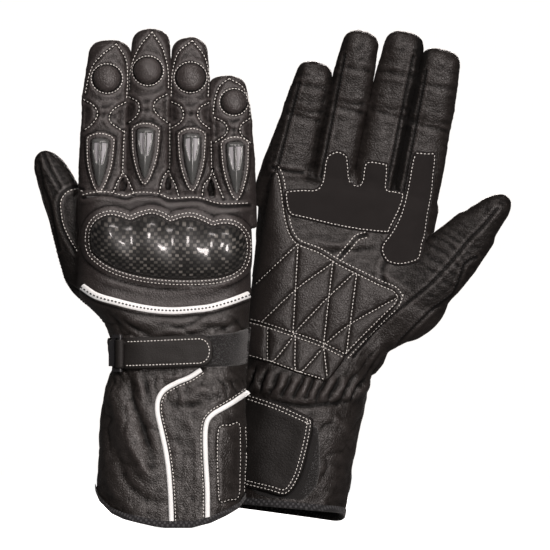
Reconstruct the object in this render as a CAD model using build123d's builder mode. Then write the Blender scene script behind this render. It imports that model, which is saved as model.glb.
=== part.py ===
from build123d import *
import math
import os

# A pair of long-cuff leather riding gloves, set upright on their cuffs. Millimetres.
# Each glove is modelled in its own glove frame and then placed:
#   +Z from the cuff mouth to the fingertips, -Y out of the back of the hand,
#   +Y out of the palm, +X to the little-finger side. Origin: middle of the cuff mouth.
# The shared frame is glove_a's glove frame.

os.makedirs("parts", exist_ok=True)

# ---------------------------------------------------------------- shell and cuts
SKIN = 3.0                # leather, padding and lining together
SPLIT = 0.1               # half of the parting gap between back and palm panels
GAP = 0.3                 # clearance under pieces sewn onto the shell
CORNER = 0.93             # body corner radius as a share of its half depth
REACH = 80.0              # cutters and outlines are extruded this far, clear of the glove
CUT_WIDTH = 120.0         # half width of the cutters that run across the glove
WRIST_Z = 126.0           # wrist bending line
WRIST_GAP = 0.5           # half of the gap at the wrist line
WRIST_BACK_ANGLE = 11.5   # mitres that open the wrist line towards back and palm
WRIST_PALM_ANGLE = 16.0
WRIST_REACH = 70.0
KNUCKLE_Z = 200.0         # top of the hand shell
KNUCKLE_GAP = 1.0
BEND = 41.5               # mitre on the palm side of each finger joint
KNUCKLE_ANGLE = BEND + 4
HEM_X = 60.0              # the hem lines run from -HEM_X to HEM_X
HEM_HEIGHT = 5.0          # height of the edge binding
HEM_GAP = 0.2             # between the binding and the cuff panels
HEM_WRAP = 0.4            # how far the binding stands off both faces of the skin

# ---------------------------------------------------------------- placing glove_b
LEAN_B = 11.0
PLACE_B = (70.6, 105.0, 7.0)

# ---------------------------------------------------------------- measured bodies
# Sections: height, centre x, half width, half depth
BODY_A = [
    (-6, -1.0, 45.0, 32.0), (25, -0.8, 46.0, 31.0), (50, 0.5, 45.8, 29.5),
    (79, 1.6, 44.4, 27.0), (98, 4.6, 41.8, 24.0), (112, 4.6, 42.2, 23.0),
    (126, 2.8, 44.7, 23.0), (142, -3.6, 52.5, 22.5), (165, -4.3, 53.3, 20.5),
    (185, -4.3, 53.3, 18.0), (206, -3.1, 54.6, 15.0),
]
BODY_B = [
    (-6, 3.6, 39.5, 32.0), (25, 4.0, 40.0, 31.0), (50, 4.6, 40.0, 29.5),
    (79, 4.8, 39.5, 27.0), (98, 4.6, 40.8, 24.0), (112, 4.6, 42.2, 23.0),
    (126, 1.5, 46.0, 23.0), (142, -3.6, 52.5, 22.5), (165, -3.3, 54.3, 20.5),
    (185, -2.1, 55.5, 18.0), (206, -1.8, 55.9, 15.0),
]
# Lower edge of the cuff: x, z
HEM_A = [
    (-HEM_X, 24), (-46.8, 22.5), (-44.4, 16.0), (-37.3, 8.8), (-30.2, 5.4), (-20.7, 3.0),
    (-11.2, 1.0), (-4, 0.0), (12, 0.0), (24.4, 3.0), (33.9, 7.4), (41.0, 11.6),
    (44.5, 16.3), (HEM_X, 17),
]
HEM_B = [(-HEM_X, 2.6), (-36, 1.8), (-3.5, 0.4), (29.6, -1.2), (HEM_X, -2.0)]

# ---------------------------------------------------------------- fingers and thumb
# Knuckle x, knuckle z, lean towards +X in degrees, half width, half depth,
# knuckle to middle joint, middle joint to tip
FINGERS_A = {
    "index": (-43.6, 203.0, 2.0, 13.6, 10.5, 53.0, 45.2),
    "middle": (-15.3, 204.0, 1.4, 12.2, 10.5, 55.0, 49.0),
    "ring": (11.7, 203.0, -0.5, 11.6, 10.2, 54.0, 45.6),
    "little": (38.2, 201.0, -1.9, 12.4, 9.6, 46.0, 32.0),
}
FINGERS_B = {
    "index": (-42.0, 203.0, 0.2, 13.0, 10.5, 53.0, 46.8),
    "middle": (-14.8, 204.0, -0.4, 12.7, 10.5, 55.0, 50.2),
    "ring": (11.4, 203.0, 0.0, 11.7, 10.2, 54.0, 47.6),
    "little": (39.8, 201.0, -3.6, 11.8, 9.6, 46.0, 33.0),
}
FINGER_Y = 0.5
FINGER_CURLS = (3.0, 9.0)   # degrees towards the palm: base, tip

# Offset across the finger, height of the foot above the knuckle, length
SLIDERS = {
    "index": (-2.5, 6.5, 33.0), "middle": (-2.2, 10.0, 33.5),
    "ring": (1.2, 7.5, 34.5), "little": (2.2, 5.0, 34.5),
}
# Right-hand side of a slider, foot to top: half width, share of its length
SLIDER_SIDE = [(4.0, 0.30), (6.2, 0.62), (6.4, 0.94), (5.2, 1.0)]
SLIDER_HEIGHT = 4.4
# Offset across the finger, height above the middle joint, radius
DOMES = {
    "index": (1.7, 22.0, 8.3), "middle": (-1.2, 23.8, 8.3),
    "ring": (0.3, 22.0, 8.6), "little": (-0.4, 16.0, 7.4),
}
DOME_HEIGHT = 3.0
DOME_TAPER = 40

STALL_WALL = 2.6
STALL_POWER = 2.7         # superellipse power of the stall section
STALL_POINTS = 16
PANEL_GAP = 0.1           # between the panels of a stall, and under what sits on it
JOINT_GAP = 0.8           # cut back from each joint
STALL_REACH = 30.0
TIP_CAP = 8.0             # length of the tapered cap on a tip
TIP_SHRINK = 0.62         # size of the cap's end against its foot

# Root x, y, z, lean towards +X in degrees, root to joint, joint to tip
THUMB_A = (-52.0, 11.5, 157.0, -19.5, 40.0, 38.0)
THUMB_B = (-57.0, 11.5, 157.0, -30.5, 38.0, 34.0)
THUMB_HALF = (12.6, 10.0)        # half width, half depth
THUMB_TIP_HALF = (THUMB_HALF[0] - 0.4, THUMB_HALF[1] - 0.2)
THUMB_CURLS = (2.0, 6.0)
THUMB_MITRES = (20.0, 30.0, 32.0)   # root, top of the base, bottom of the tip
THUMB_HOLE_SHIFT = 30.0          # the opening's centre lies this far palmward of the root

# ---------------------------------------------------------------- outlines: x, z
GUARD = [
    (-49.4, 177.1), (-48.8, 183.7), (-45.5, 188.6), (-38.9, 191.4), (-32.2, 190.6),
    (-25.6, 188.7), (-19.0, 191.0), (-12.3, 192.4), (-6.8, 190.9), (-1.2, 187.8),
    (5.4, 189.6), (12.0, 190.4), (18.7, 188.1), (25.3, 185.2), (30.9, 186.3),
    (37.5, 185.7), (42.5, 182.0), (44.7, 175.9), (44.2, 168.2), (41.4, 161.6),
    (34.2, 157.1), (23.1, 154.9), (5.4, 154.4), (-11.2, 155.5), (-25.6, 158.2),
    (-36.7, 162.1), (-44.4, 167.1), (-48.3, 171.5),
]
GUARD_CENTRE = (-2.4, 173.0)
# Guard sections: distance behind the hand's mid-plane, x scale, z scale
GUARD_OUTER = ((23.8, 1.0, 1.0), (30.0, 0.965, 0.90), (34.2, 0.86, 0.62))
GUARD_HOLLOW = ((23.8, 0.945, 0.86), (29.0, 0.90, 0.72), (32.0, 0.80, 0.46))
PAD_DEPTH = 23.6                 # outer face of the pad, just under the guard
PAD_SCALE = (1.04, 1.10)         # the pad's outline against the guard's, x and z

GRIP = [
    (37, 182), (-52, 182), (-51.4, 171.0), (-42.1, 165.9), (-31.5, 167.1), (-27.0, 174.0),
    (-28.6, 180.0), (-6.7, 178.0), (12.8, 178.0), (31.0, 180.0),
]
HEEL = [
    (46.0, 165.0), (30.0, 166.0), (24.1, 165.0), (10.7, 163.0), (-3.2, 158.0), (-16.8, 154.5),
    (-30.5, 150.7), (-39.9, 148.7), (-42.0, 144.4), (-39.0, 140.0), (46.0, 140.0),
]
FLAP = [
    (38.6, 70.1), (17.4, 67.1), (-3.0, 62.1), (-5.8, 59.4), (-6.1, 42.7), (-4.1, 23.0),
    (1.9, 12.0), (14.2, 12.0), (38.6, 13.0),
]
LOOP_WRIST = [(2.0, 98.0), (44.0, 101.0), (44.0, 120.0), (2.0, 117.0)]
LOOP_CUFF = [
    (25.0, 60.0), (-6.0, 57.0), (-9.3, 56.0), (-13.6, 41.6), (-15.0, 24.0), (-11.1, 15.4),
    (-5.0, 13.0), (25.0, 15.0),
]
# Centre lines of the pipings: x, z
PIPING_HAND = [
    (-52.9, 148.0), (-46.8, 144.8), (-34.9, 141.7), (-23.1, 139.7), (-11.2, 138.5),
    (0.7, 138.2), (12.5, 138.7), (24.4, 139.7), (36.2, 141.7), (44.5, 145.4),
]
PIPINGS_CUFF = (
    [(18.5, 96.0), (10.1, 92.3), (0.7, 88.7), (-6.5, 84.0), (-9.8, 78.0), (-9.8, 70.9),
     (-7.6, 61.4), (-4.7, 48.4), (-2.9, 35.3), (-1.7, 19.9), (-1.2, 9.0)],
    [(40.0, 79.5), (38.6, 78.0), (31.5, 73.9), (25.6, 70.9), (21.4, 66.8), (19.9, 61.4),
     (19.6, 53.1), (20.6, 41.3), (21.6, 23.5), (21.9, 12.0)],
)
HAND_PIPING_WIDTH = 3.6
CUFF_PIPING_WIDTH = 3.0
# Outer faces of the sewn pieces, as distances from the shell
PIPING_TOP = GAP + 1.2
GRIP_TOP = GAP + 1.4
LOOP_TOP = GAP + 1.6
HEEL_TOP = GAP + 2.6
FLAP_LAYER = (2.2, 4.4)          # the flap passes over the loop patch

# ---------------------------------------------------------------- wrist strap and its ring
STRAP_BOTTOM, STRAP_TOP = 98.5, 117.0
STRAP_END_X = 25.0
STRAP_LAYER = (2.4, 4.9)
STRAP_CLEARANCE = 1.9            # least distance from the eye to the shell
HINGE_X, HINGE_Y = -32.0, -21.3  # axis of the bar the strap turns round
BAR_RADIUS = 1.2
EYE_RADIUS = 1.27
EYE_WALL = 1.5
EYE_INSET = 0.8                  # the eye is this much shorter than the strap at each end
RING_BOTTOM, RING_TOP = STRAP_BOTTOM - 2.2, STRAP_TOP + 2.2
RING_END = 2.2                   # thickness of the ring's end plates
RING_PITCH = 5.2                 # between its two bars
RING_DIRECTION = Vector(-0.72, 0.69, 0).normalized()   # hinge bar to far bar
BAR_INSET = 1.0                  # the bars start and stop inside the end plates
TAB_INSET = 3.4


# ---------------------------------------------------------------- geometry helpers
def slope(angle):
    return math.tan(math.radians(angle))


def finger_plane(origin, lean, curl):
    """Section plane of a finger: z runs along the finger, x across it, y to its palm side."""
    a, t = math.radians(lean), math.radians(curl)
    return Plane(
        origin=origin,
        x_dir=(math.cos(a), 0, -math.sin(a)),
        z_dir=(math.sin(a) * math.cos(t), math.sin(t), math.cos(a) * math.cos(t)),
    )


def finger_back(plane, half_depth, x, height):
    """Plane just off the back of a finger, facing away from it."""
    origin = plane.from_local_coords(Vector(x, -half_depth - PANEL_GAP, height))
    return Plane(origin=origin, x_dir=plane.x_dir, z_dir=-plane.y_dir)


def stall_section(half_width, half_depth):
    """Superellipse points."""
    points = []
    for i in range(STALL_POINTS):
        t = 2 * math.pi * (i + 0.5) / STALL_POINTS
        c, s = math.cos(t), math.sin(t)
        points.append((
            half_width * math.copysign(abs(c) ** (2 / STALL_POWER), c),
            half_depth * math.copysign(abs(s) ** (2 / STALL_POWER), s),
        ))
    return points


def ribbon(points, width):
    """Outline of a band of this width along a line of points."""
    left, right = [], []
    for i, (x, z) in enumerate(points):
        x0, z0 = points[max(i - 1, 0)]
        x1, z1 = points[min(i + 1, len(points) - 1)]
        length = math.hypot(x1 - x0, z1 - z0)
        side_x = -(z1 - z0) / length * width / 2
        side_z = (x1 - x0) / length * width / 2
        left.append((x + side_x, z + side_z))
        right.append((x - side_x, z - side_z))
    return left + right[::-1]


def scaled(points, scale_x, scale_z, centre=GUARD_CENTRE):
    """An outline scaled about a centre."""
    cx, cz = centre
    return [(cx + scale_x * (x - cx), cz + scale_z * (z - cz)) for x, z in points]


def prism(plane, points, amount, both=False):
    with BuildPart() as solid:
        with BuildSketch(plane):
            with BuildLine():
                Polyline(*points, close=True)
            make_face()
        extrude(amount=amount, both=both)
    return solid.part


def make_shell(sections):
    """A function that gives the glove body grown outward by a distance, built once for each."""
    solids = {}

    def shell(grow):
        if grow not in solids:
            with BuildPart() as body:
                for z, cx, half_width, half_depth in sections:
                    width, depth = half_width + grow, half_depth + grow
                    with BuildSketch(Plane((cx, 0, z))):
                        RectangleRounded(2 * width, 2 * depth, depth * CORNER)
                loft()
            solids[grow] = body.part
        return solids[grow]

    return shell


def layer(shell, points, low, high, palm):
    """A sheet inside an outline, following the body between two distances from it."""
    with BuildPart() as sheet:
        add(prism(Plane.XZ, points, -REACH if palm else REACH))
        add(shell(high), mode=Mode.INTERSECT)
        add(shell(low), mode=Mode.SUBTRACT)
    return sheet.part


# ---------------------------------------------------------------- cutters
def wrist_cutter(keep_hand):
    """Removes the cuff side of the wrist line to keep the hand, or the hand side."""
    s = 1 if keep_hand else -1
    line = WRIST_Z + WRIST_GAP * s
    far = WRIST_REACH
    points = [
        (0, line), (far, line + s * far * slope(WRIST_PALM_ANGLE)), (far, WRIST_Z - s * 200),
        (-far, WRIST_Z - s * 200), (-far, line + s * far * slope(WRIST_BACK_ANGLE)),
    ]
    return prism(Plane.YZ, points, CUT_WIDTH, both=True)


def knuckle_cutter():
    """Everything above the knuckles, mitred down on the palm side."""
    z = KNUCKLE_Z - KNUCKLE_GAP
    points = [
        (-REACH, z), (0, z), (REACH, z - REACH * slope(KNUCKLE_ANGLE)),
        (REACH, 300), (-REACH, 300),
    ]
    return prism(Plane.YZ, points, CUT_WIDTH, both=True)


def thumb_cutter(thumb):
    """Opening in the shell that the thumb stall is sewn into."""
    x, y, z, lean = thumb[:4]
    half_width, half_depth = THUMB_HALF
    centre_y = y + THUMB_HOLE_SHIFT
    with BuildPart() as hole:
        with BuildSketch(finger_plane((x, centre_y, z), lean, 0.0)):
            Rectangle(2 * half_width + 5.0, 2 * (half_depth + THUMB_HOLE_SHIFT + 2.5))
        extrude(amount=70)
        with BuildSketch(Plane((x, centre_y, z - 7.0))):
            Rectangle(2 * half_width + 1.0, 2 * (half_depth + THUMB_HOLE_SHIFT + 1.5))
        extrude(amount=10)
    return hole.part


def hem_cutter(hem, rise, end_z=-40):
    """Everything between the raised hem line and a level z, by default below the cuff."""
    points = [(x, z + rise) for x, z in hem] + [(HEM_X, end_z), (-HEM_X, end_z)]
    return prism(Plane.XZ, points, REACH, both=True)


# ---------------------------------------------------------------- hand and cuff pieces
def panel(shell, cutters, palm):
    """The back or palm half of the skin, less the cutters."""
    with BuildPart() as skin:
        add(shell(0.0))
        add(shell(-SKIN), mode=Mode.SUBTRACT)
        for cutter in cutters:
            add(cutter, mode=Mode.SUBTRACT)
        if palm:
            split(bisect_by=Plane.XZ.offset(-SPLIT), keep=Keep.BOTTOM)
        else:
            split(bisect_by=Plane.XZ.offset(SPLIT), keep=Keep.TOP)
    return skin.part


def cuff_hem(shell, hem):
    """Binding rolled round the cuff's free edge."""
    with BuildPart() as binding:
        add(shell(HEM_WRAP))
        add(shell(-SKIN - HEM_WRAP), mode=Mode.SUBTRACT)
        add(hem_cutter(hem, 0), mode=Mode.SUBTRACT)
        add(hem_cutter(hem, HEM_HEIGHT, end_z=140), mode=Mode.SUBTRACT)
        # the rest of the body, above the reach of the last cutter
        with BuildSketch(Plane((0, 0, 135))):
            Rectangle(160, 120)
        extrude(amount=100, mode=Mode.SUBTRACT)
    return binding.part


def knuckle_pad(shell):
    with BuildPart() as pad:
        add(prism(Plane.XZ, scaled(GUARD, *PAD_SCALE), PAD_DEPTH))
        add(shell(GAP), mode=Mode.SUBTRACT)
    return pad.part


def knuckle_guard():
    """Domed guard over the knuckle pad, hollow underneath."""
    with BuildPart() as guard:
        for sections, mode in ((GUARD_OUTER, Mode.ADD), (GUARD_HOLLOW, Mode.SUBTRACT)):
            for depth, scale_x, scale_z in sections:
                with BuildSketch(Plane.XZ.offset(depth)):
                    with BuildLine():
                        Spline(*scaled(GUARD, scale_x, scale_z), periodic=True)
                    make_face()
            loft(mode=mode)
    return guard.part


def cuff_piping(shell):
    with BuildPart() as piping:
        for line in PIPINGS_CUFF:
            add(layer(shell, ribbon(line, CUFF_PIPING_WIDTH), GAP, PIPING_TOP, False))
    return piping.part


def ring_plane(distance, z):
    """Level plane on the ring, this far from the hinge bar, x towards the far bar."""
    origin = Vector(HINGE_X, HINGE_Y, z) + RING_DIRECTION * distance
    return Plane(origin=origin, x_dir=RING_DIRECTION, z_dir=(0, 0, 1))


def strap_ring():
    """Rectangular ring: one bar on the strap's hinge line, the other in a tab on the cuff."""
    height = RING_TOP - RING_BOTTOM
    bar_bottom = RING_BOTTOM + BAR_INSET
    bar_length = height - 2 * BAR_INSET
    with BuildPart() as ring:
        for z in (RING_BOTTOM, RING_TOP - RING_END):
            with BuildSketch(ring_plane(0, z)):
                with Locations((RING_PITCH / 2, 0)):
                    RectangleRounded(7.8, 2.8, 1.2)
            extrude(amount=RING_END)
        with BuildSketch(Plane((HINGE_X, HINGE_Y, bar_bottom))):
            Circle(BAR_RADIUS)
        extrude(amount=bar_length)
        with BuildSketch(ring_plane(RING_PITCH, bar_bottom)):
            Rectangle(1.8, 1.8)
        extrude(amount=bar_length)
        # tab that holds the far bar
        with BuildSketch(ring_plane(RING_PITCH, RING_BOTTOM + TAB_INSET)):
            with Locations((0.6, -0.5)):
                Rectangle(4.8, 4.6)
            Rectangle(2.2, 2.2, mode=Mode.SUBTRACT)
        extrude(amount=height - 2 * TAB_INSET)
    return ring.part


def wrist_strap(shell):
    """An eye folded round the ring's bar, and a curved tongue over the back of the wrist."""
    start_x, end_x = HINGE_X + 3.2, STRAP_END_X
    outline = [
        (start_x, STRAP_BOTTOM), (end_x - 5, STRAP_BOTTOM + 0.6),
        (end_x - 1.4, STRAP_BOTTOM + 3.2), (end_x, STRAP_BOTTOM + 9.4),
        (end_x - 1.4, STRAP_TOP - 2.4), (end_x - 5, STRAP_TOP), (start_x, STRAP_TOP),
    ]
    low, high = STRAP_LAYER
    width = STRAP_TOP - STRAP_BOTTOM
    with BuildPart() as strap:
        add(layer(shell, outline, low, high, False))
        with BuildSketch(Plane((HINGE_X, HINGE_Y, STRAP_BOTTOM + EYE_INSET))):
            Circle(EYE_RADIUS + EYE_WALL)
            # joins the eye to the tongue
            with Locations((2.6, -0.55)):
                Rectangle(4.6, 2.6, rotation=-42)
        extrude(amount=width - 2 * EYE_INSET)
        with BuildSketch(Plane((HINGE_X, HINGE_Y, STRAP_BOTTOM - 5))):
            Circle(EYE_RADIUS)
        extrude(amount=width + 10, mode=Mode.SUBTRACT)
        add(shell(STRAP_CLEARANCE), mode=Mode.SUBTRACT)
    return strap.part


# ---------------------------------------------------------------- finger pieces
def stall(plane, half_width, half_depth, length, bottom_mitre, top_mitre=None):
    """Back, palm and two side panels round a hollow, mitred on the palm side at each joint.

    Without a top mitre it is a tip, and a tapered cap of TIP_CAP closes it above this length.
    """
    far = STALL_REACH
    inner_depth = half_depth - STALL_WALL
    seam = inner_depth - PANEL_GAP / 2
    side = Plane(origin=plane.origin, x_dir=plane.y_dir, z_dir=plane.x_dir)
    with BuildPart() as panels:
        with BuildSketch(plane):
            with BuildLine():
                Polyline(*stall_section(half_width, half_depth), close=True)
            make_face()
            Rectangle(2 * (half_width - STALL_WALL), 2 * inner_depth, mode=Mode.SUBTRACT)
            with Locations((0, seam), (0, -seam)):
                Rectangle(2 * half_width + 4, PANEL_GAP, mode=Mode.SUBTRACT)
        extrude(amount=length)

        z = JOINT_GAP
        below = [(-far, z), (0, z), (far, z + far * slope(bottom_mitre)), (far, -20), (-far, -20)]
        add(prism(side, below, far, both=True), mode=Mode.SUBTRACT)
        if top_mitre is not None:
            z = length - JOINT_GAP
            above = [
                (-far, z), (0, z), (far, z - far * slope(top_mitre)),
                (far, length + far), (-far, length + far),
            ]
            add(prism(side, above, far, both=True), mode=Mode.SUBTRACT)
        else:
            for height, scale in ((PANEL_GAP, 1.0), (TIP_CAP - PANEL_GAP, TIP_SHRINK)):
                with BuildSketch(plane.offset(length + height)):
                    with BuildLine():
                        Polyline(
                            *stall_section(half_width * scale, half_depth * scale), close=True
                        )
                    make_face()
            loft(ruled=True)
    return panels.part


def finger_slider(plane, length):
    """Long tapered block on the back of a finger base, narrow at its foot."""
    right = [(x, share * length) for x, share in SLIDER_SIDE]
    outline = [(0, 0)] + right + [(-x, z) for x, z in reversed(right)]
    top = scaled(outline, 0.55, 0.80, centre=(0, length * 0.58))
    with BuildPart() as slider:
        for height, points in ((0, outline), (SLIDER_HEIGHT, top)):
            with BuildSketch(plane.offset(height)):
                with BuildLine():
                    Polyline(*points, close=True)
                make_face()
        loft(ruled=True)
    return slider.part


def finger_tip(plane, half_width, half_depth, length, dome):
    """Tip stall with a tapered round boss on its back."""
    x, height, radius = dome
    with BuildPart() as tip:
        add(stall(plane, half_width, half_depth, length - TIP_CAP, BEND + 5))
        with BuildSketch(finger_back(plane, half_depth, x, height)):
            Circle(radius)
        extrude(amount=DOME_HEIGHT, taper=DOME_TAPER)
    return tip.part


def finger_parts(name, finger):
    x, z, lean, half_width, half_depth, base_length, tip_length = finger
    base = finger_plane((x, FINGER_Y, z), lean, FINGER_CURLS[0])
    tip = finger_plane(base.offset(base_length).origin, lean, FINGER_CURLS[1])
    slider_x, foot, slider_length = SLIDERS[name]
    slider = finger_back(base, half_depth, slider_x, foot)
    return {
        f"{name}_base": stall(base, half_width, half_depth, base_length, BEND, BEND),
        f"{name}_slider": finger_slider(slider, slider_length),
        f"{name}_tip": finger_tip(tip, half_width, half_depth, tip_length, DOMES[name]),
    }


def thumb_parts(thumb):
    x, y, z, lean, base_length, tip_length = thumb
    root_mitre, top_mitre, tip_mitre = THUMB_MITRES
    base = finger_plane((x, y, z), lean, THUMB_CURLS[0])
    tip = finger_plane(base.offset(base_length).origin, lean, THUMB_CURLS[1])
    return {
        "thumb_base": stall(base, *THUMB_HALF, base_length, root_mitre, top_mitre),
        "thumb_tip": stall(tip, *THUMB_TIP_HALF, tip_length - TIP_CAP, tip_mitre),
    }


# ---------------------------------------------------------------- whole gloves
def build_glove(name, sections, hem, fingers, thumb, place):
    shell = make_shell(sections)
    knuckles = knuckle_cutter()
    thumb_hole = thumb_cutter(thumb)
    hand_cutters = (wrist_cutter(True), knuckles, thumb_hole)
    cuff_cutters = (wrist_cutter(False), hem_cutter(hem, HEM_HEIGHT + HEM_GAP))
    hand_line = ribbon(PIPING_HAND, HAND_PIPING_WIDTH)

    parts = {
        "hand_back": panel(shell, hand_cutters, palm=False),
        "hand_palm": panel(shell, hand_cutters, palm=True),
        "cuff_back": panel(shell, cuff_cutters, palm=False),
        "cuff_palm": panel(shell, cuff_cutters, palm=True),
        "cuff_hem": cuff_hem(shell, hem),
        "knuckle_pad": knuckle_pad(shell),
        "knuckle_guard": knuckle_guard(),
        "grip_patch": layer(shell, GRIP, GAP, GRIP_TOP, palm=True) - thumb_hole - knuckles,
        "heel_pad": layer(shell, HEEL, GAP, HEEL_TOP, palm=True),
        "hand_piping": layer(shell, hand_line, GAP, PIPING_TOP, palm=False),
        "cuff_piping": cuff_piping(shell),
        "wrist_loop_patch": layer(shell, LOOP_WRIST, GAP, LOOP_TOP, palm=False),
        "cuff_loop_patch": layer(shell, LOOP_CUFF, GAP, LOOP_TOP, palm=True),
        "strap_ring": strap_ring(),
        "wrist_strap": wrist_strap(shell),
        "cuff_flap": layer(shell, FLAP, *FLAP_LAYER, palm=True),
    }
    for finger, sizes in fingers.items():
        parts.update(finger_parts(finger, sizes))
    parts.update(thumb_parts(thumb))

    for node, part in parts.items():
        placed = part.moved(place)
        placed.label = f"{name}_{node}"
        export_step(placed, f"parts/{name}_{node}.step")


build_glove("glove_a", BODY_A, HEM_A, FINGERS_A, THUMB_A, Location((0, 0, 0)))

# glove_b shows its palm to -Y: turned half round about Z, then leaned about Y towards +X
half_turn = Location((0, 0, 0), (0, 0, 180))
lean_over = Location((0, 0, 0), (0, LEAN_B, 0))
place_b = Location(Vector(*PLACE_B)) * lean_over * half_turn
build_glove("glove_b", BODY_B, HEM_B, FINGERS_B, THUMB_B, place_b)
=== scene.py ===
"""Two long-cuffed leather gloves, standing side by side with their fingers up.

Each is drawn in its own glove frame in millimetres: +Z to the fingertips, -Y out of the back of
the hand, +Y out of the palm, +X to the little finger. place() takes that to the scene in metres.
Glove a shows its back to the camera at -Y. Glove b is turned half round and leans.
"""
import math
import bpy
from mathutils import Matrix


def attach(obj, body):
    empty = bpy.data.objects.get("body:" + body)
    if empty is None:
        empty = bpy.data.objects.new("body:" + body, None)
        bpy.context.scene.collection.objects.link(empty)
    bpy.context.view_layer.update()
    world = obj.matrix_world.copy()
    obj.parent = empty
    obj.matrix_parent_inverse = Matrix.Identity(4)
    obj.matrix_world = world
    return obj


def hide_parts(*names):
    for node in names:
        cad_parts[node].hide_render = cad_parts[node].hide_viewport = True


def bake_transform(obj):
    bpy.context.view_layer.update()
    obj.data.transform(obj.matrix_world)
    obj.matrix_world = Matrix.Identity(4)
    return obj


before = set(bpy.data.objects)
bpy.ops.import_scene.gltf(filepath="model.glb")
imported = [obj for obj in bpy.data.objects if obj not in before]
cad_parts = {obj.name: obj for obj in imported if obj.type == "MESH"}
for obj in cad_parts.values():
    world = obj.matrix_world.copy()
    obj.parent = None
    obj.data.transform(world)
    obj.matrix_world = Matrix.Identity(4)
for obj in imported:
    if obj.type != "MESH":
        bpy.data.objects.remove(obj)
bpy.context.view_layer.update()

from types import SimpleNamespace

import bpy
import numpy as np
from mathutils import Vector
from mathutils.bvhtree import BVHTree
from mathutils.geometry import delaunay_2d_cdt
from mathutils.kdtree import KDTree

VOXEL = 0.95

# where glove b stands, and how far it leans
B_LEAN = math.radians(11.0)
B_ORIGIN = np.array([70.6, 105.0, 7.0])

FINGERS = ["index", "middle", "ring", "little"]
BACK, PALM = -1, 1


def place(points, key):
    """Glove frame in millimetres to scene frame in metres."""
    points = np.asarray(points, float)
    if key == "b":
        x, y, z = -points[..., 0], -points[..., 1], points[..., 2]
        cos, sin = math.cos(B_LEAN), math.sin(B_LEAN)
        points = np.stack([x * cos + z * sin + B_ORIGIN[0], y + B_ORIGIN[1],
                           -x * sin + z * cos + B_ORIGIN[2]], -1)
    return points * 0.001


def place_dir(directions, key):
    return (place(directions, key) - place(np.zeros(3), key)) * 1000.0


# ------------------------------------------------------------------ pattern of the gloves
# Hand and cuff sections: z, centre x, half width, half depth
BODY = {
    "a": [(-6, -1.0, 45.0, 32.0), (25, -0.8, 46.0, 31.0), (50, 0.5, 45.8, 29.5),
          (79, 1.6, 44.4, 27.0), (98, 4.6, 41.8, 24.0), (112, 4.6, 42.2, 23.0),
          (126, 2.8, 44.7, 23.0), (142, -3.6, 52.5, 22.5), (165, -4.3, 53.3, 20.5),
          (185, -4.3, 53.3, 18.0), (206, -3.1, 54.6, 15.0)],
    "b": [(-6, 3.6, 39.5, 32.0), (25, 4.0, 40.0, 31.0), (50, 4.6, 40.0, 29.5),
          (79, 4.8, 39.5, 27.0), (98, 4.6, 40.8, 24.0), (112, 4.6, 42.2, 23.0),
          (126, 1.5, 46.0, 23.0), (142, -3.6, 52.5, 22.5), (165, -3.3, 54.3, 20.5),
          (185, -2.1, 55.5, 18.0), (206, -1.8, 55.9, 15.0)],
}
# Finger stalls: root x, root z, lean in degrees, half width, half depth,
# length below the middle joint, length above it
STALLS = {
    "a": {"index": (-43.6, 203.0, 2.0, 13.6, 10.5, 53.0, 45.2),
          "middle": (-15.3, 204.0, 1.4, 12.2, 10.5, 55.0, 49.0),
          "ring": (11.7, 203.0, -0.5, 11.6, 10.2, 54.0, 45.6),
          "little": (38.2, 201.0, -1.9, 12.4, 9.6, 46.0, 32.0)},
    "b": {"index": (-42.0, 203.0, 0.2, 13.0, 10.5, 53.0, 46.8),
          "middle": (-14.8, 204.0, -0.4, 12.7, 10.5, 55.0, 50.2),
          "ring": (11.4, 203.0, 0.0, 11.7, 10.2, 54.0, 47.6),
          "little": (39.8, 201.0, -3.6, 11.8, 9.6, 46.0, 33.0)},
}
# Thumb stall: root x, y, z, lean in degrees, length below the joint, length above it
THUMB = {"a": (-52.0, 11.5, 157.0, -19.5, 40.0, 38.0), "b": (-57.0, 11.5, 157.0, -30.5, 38.0, 34.0)}
# Sideways shift of a stall: distances from its root, shifts there
SHIFTS = {
    ("a", "thumb"): ([0, 20, 40, 56, 66, 81.2], [-0.6, 0.2, 0.9, 0.7, 0.0, -1.8]),
    ("b", "thumb"): ([-10, 14, 44, 56, 76], [0, -0.8, -1.4, -1.6, -3.2]),
    ("a", "index"): ([0, 20, 60, 90], [0.9, 0.6, 0.5, 2.0]),
    ("a", "little"): ([0, 30, 50, 78], [0.0, -0.3, -0.8, -2.0]),
    ("b", "index"): ([0], [0.9]),
    ("b", "middle"): ([50, 95], [0.0, -1.3]),
    ("b", "ring"): ([50, 95], [0.0, -1.3]),
    ("b", "little"): ([-20, 0, 14, 30, 46], [1.0, 1.0, 0.7, 0.0, -0.6]),
}
# Filled swellings at the ball of the thumb: centre, radii, lean in degrees
MOUNDS = {
    "a": [((-42, 7, 147), (14, 13, 24), -36), ((-40, 9, 160), (20, 12, 20), 0)],
    "b": [((-50.6, 8, 143.2), (21.5, 14, 27.5), -38), ((-33.6, 3, 112), (9.7, 15, 17), 0),
          ((-52, 9, 158), (22, 13, 24), -20), ((-36, 10, 150), (22, 13, 30), 0),
          ((-45.5, 6, 128), (11, 13, 24), -40)],
}
WEB_CENTRES = [(-29.9, 2.0, 206.5), (-2.0, 2.0, 208.0), (25.2, 2.0, 204.0)]
# Edge of the cuff's mouth: x, z on the back, rise from there to the palm
HEM = {
    "a": ([-60, -46.8, -44.4, -37.3, -30.2, -20.7, -11.2, -4, 12, 24.4, 33.9, 41.0, 44.5, 60],
          [24, 22.5, 16.0, 8.8, 5.4, 3.0, 1.0, 0.0, 0.0, 3.0, 7.4, 11.6, 16.3, 17], [2.2] * 14),
    "b": ([-40, -36, 29.6, 45], [2.5, 2.0, -1.7, -2.4], [5.7, 5.8, 3.0, 3.0]),
}

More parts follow.
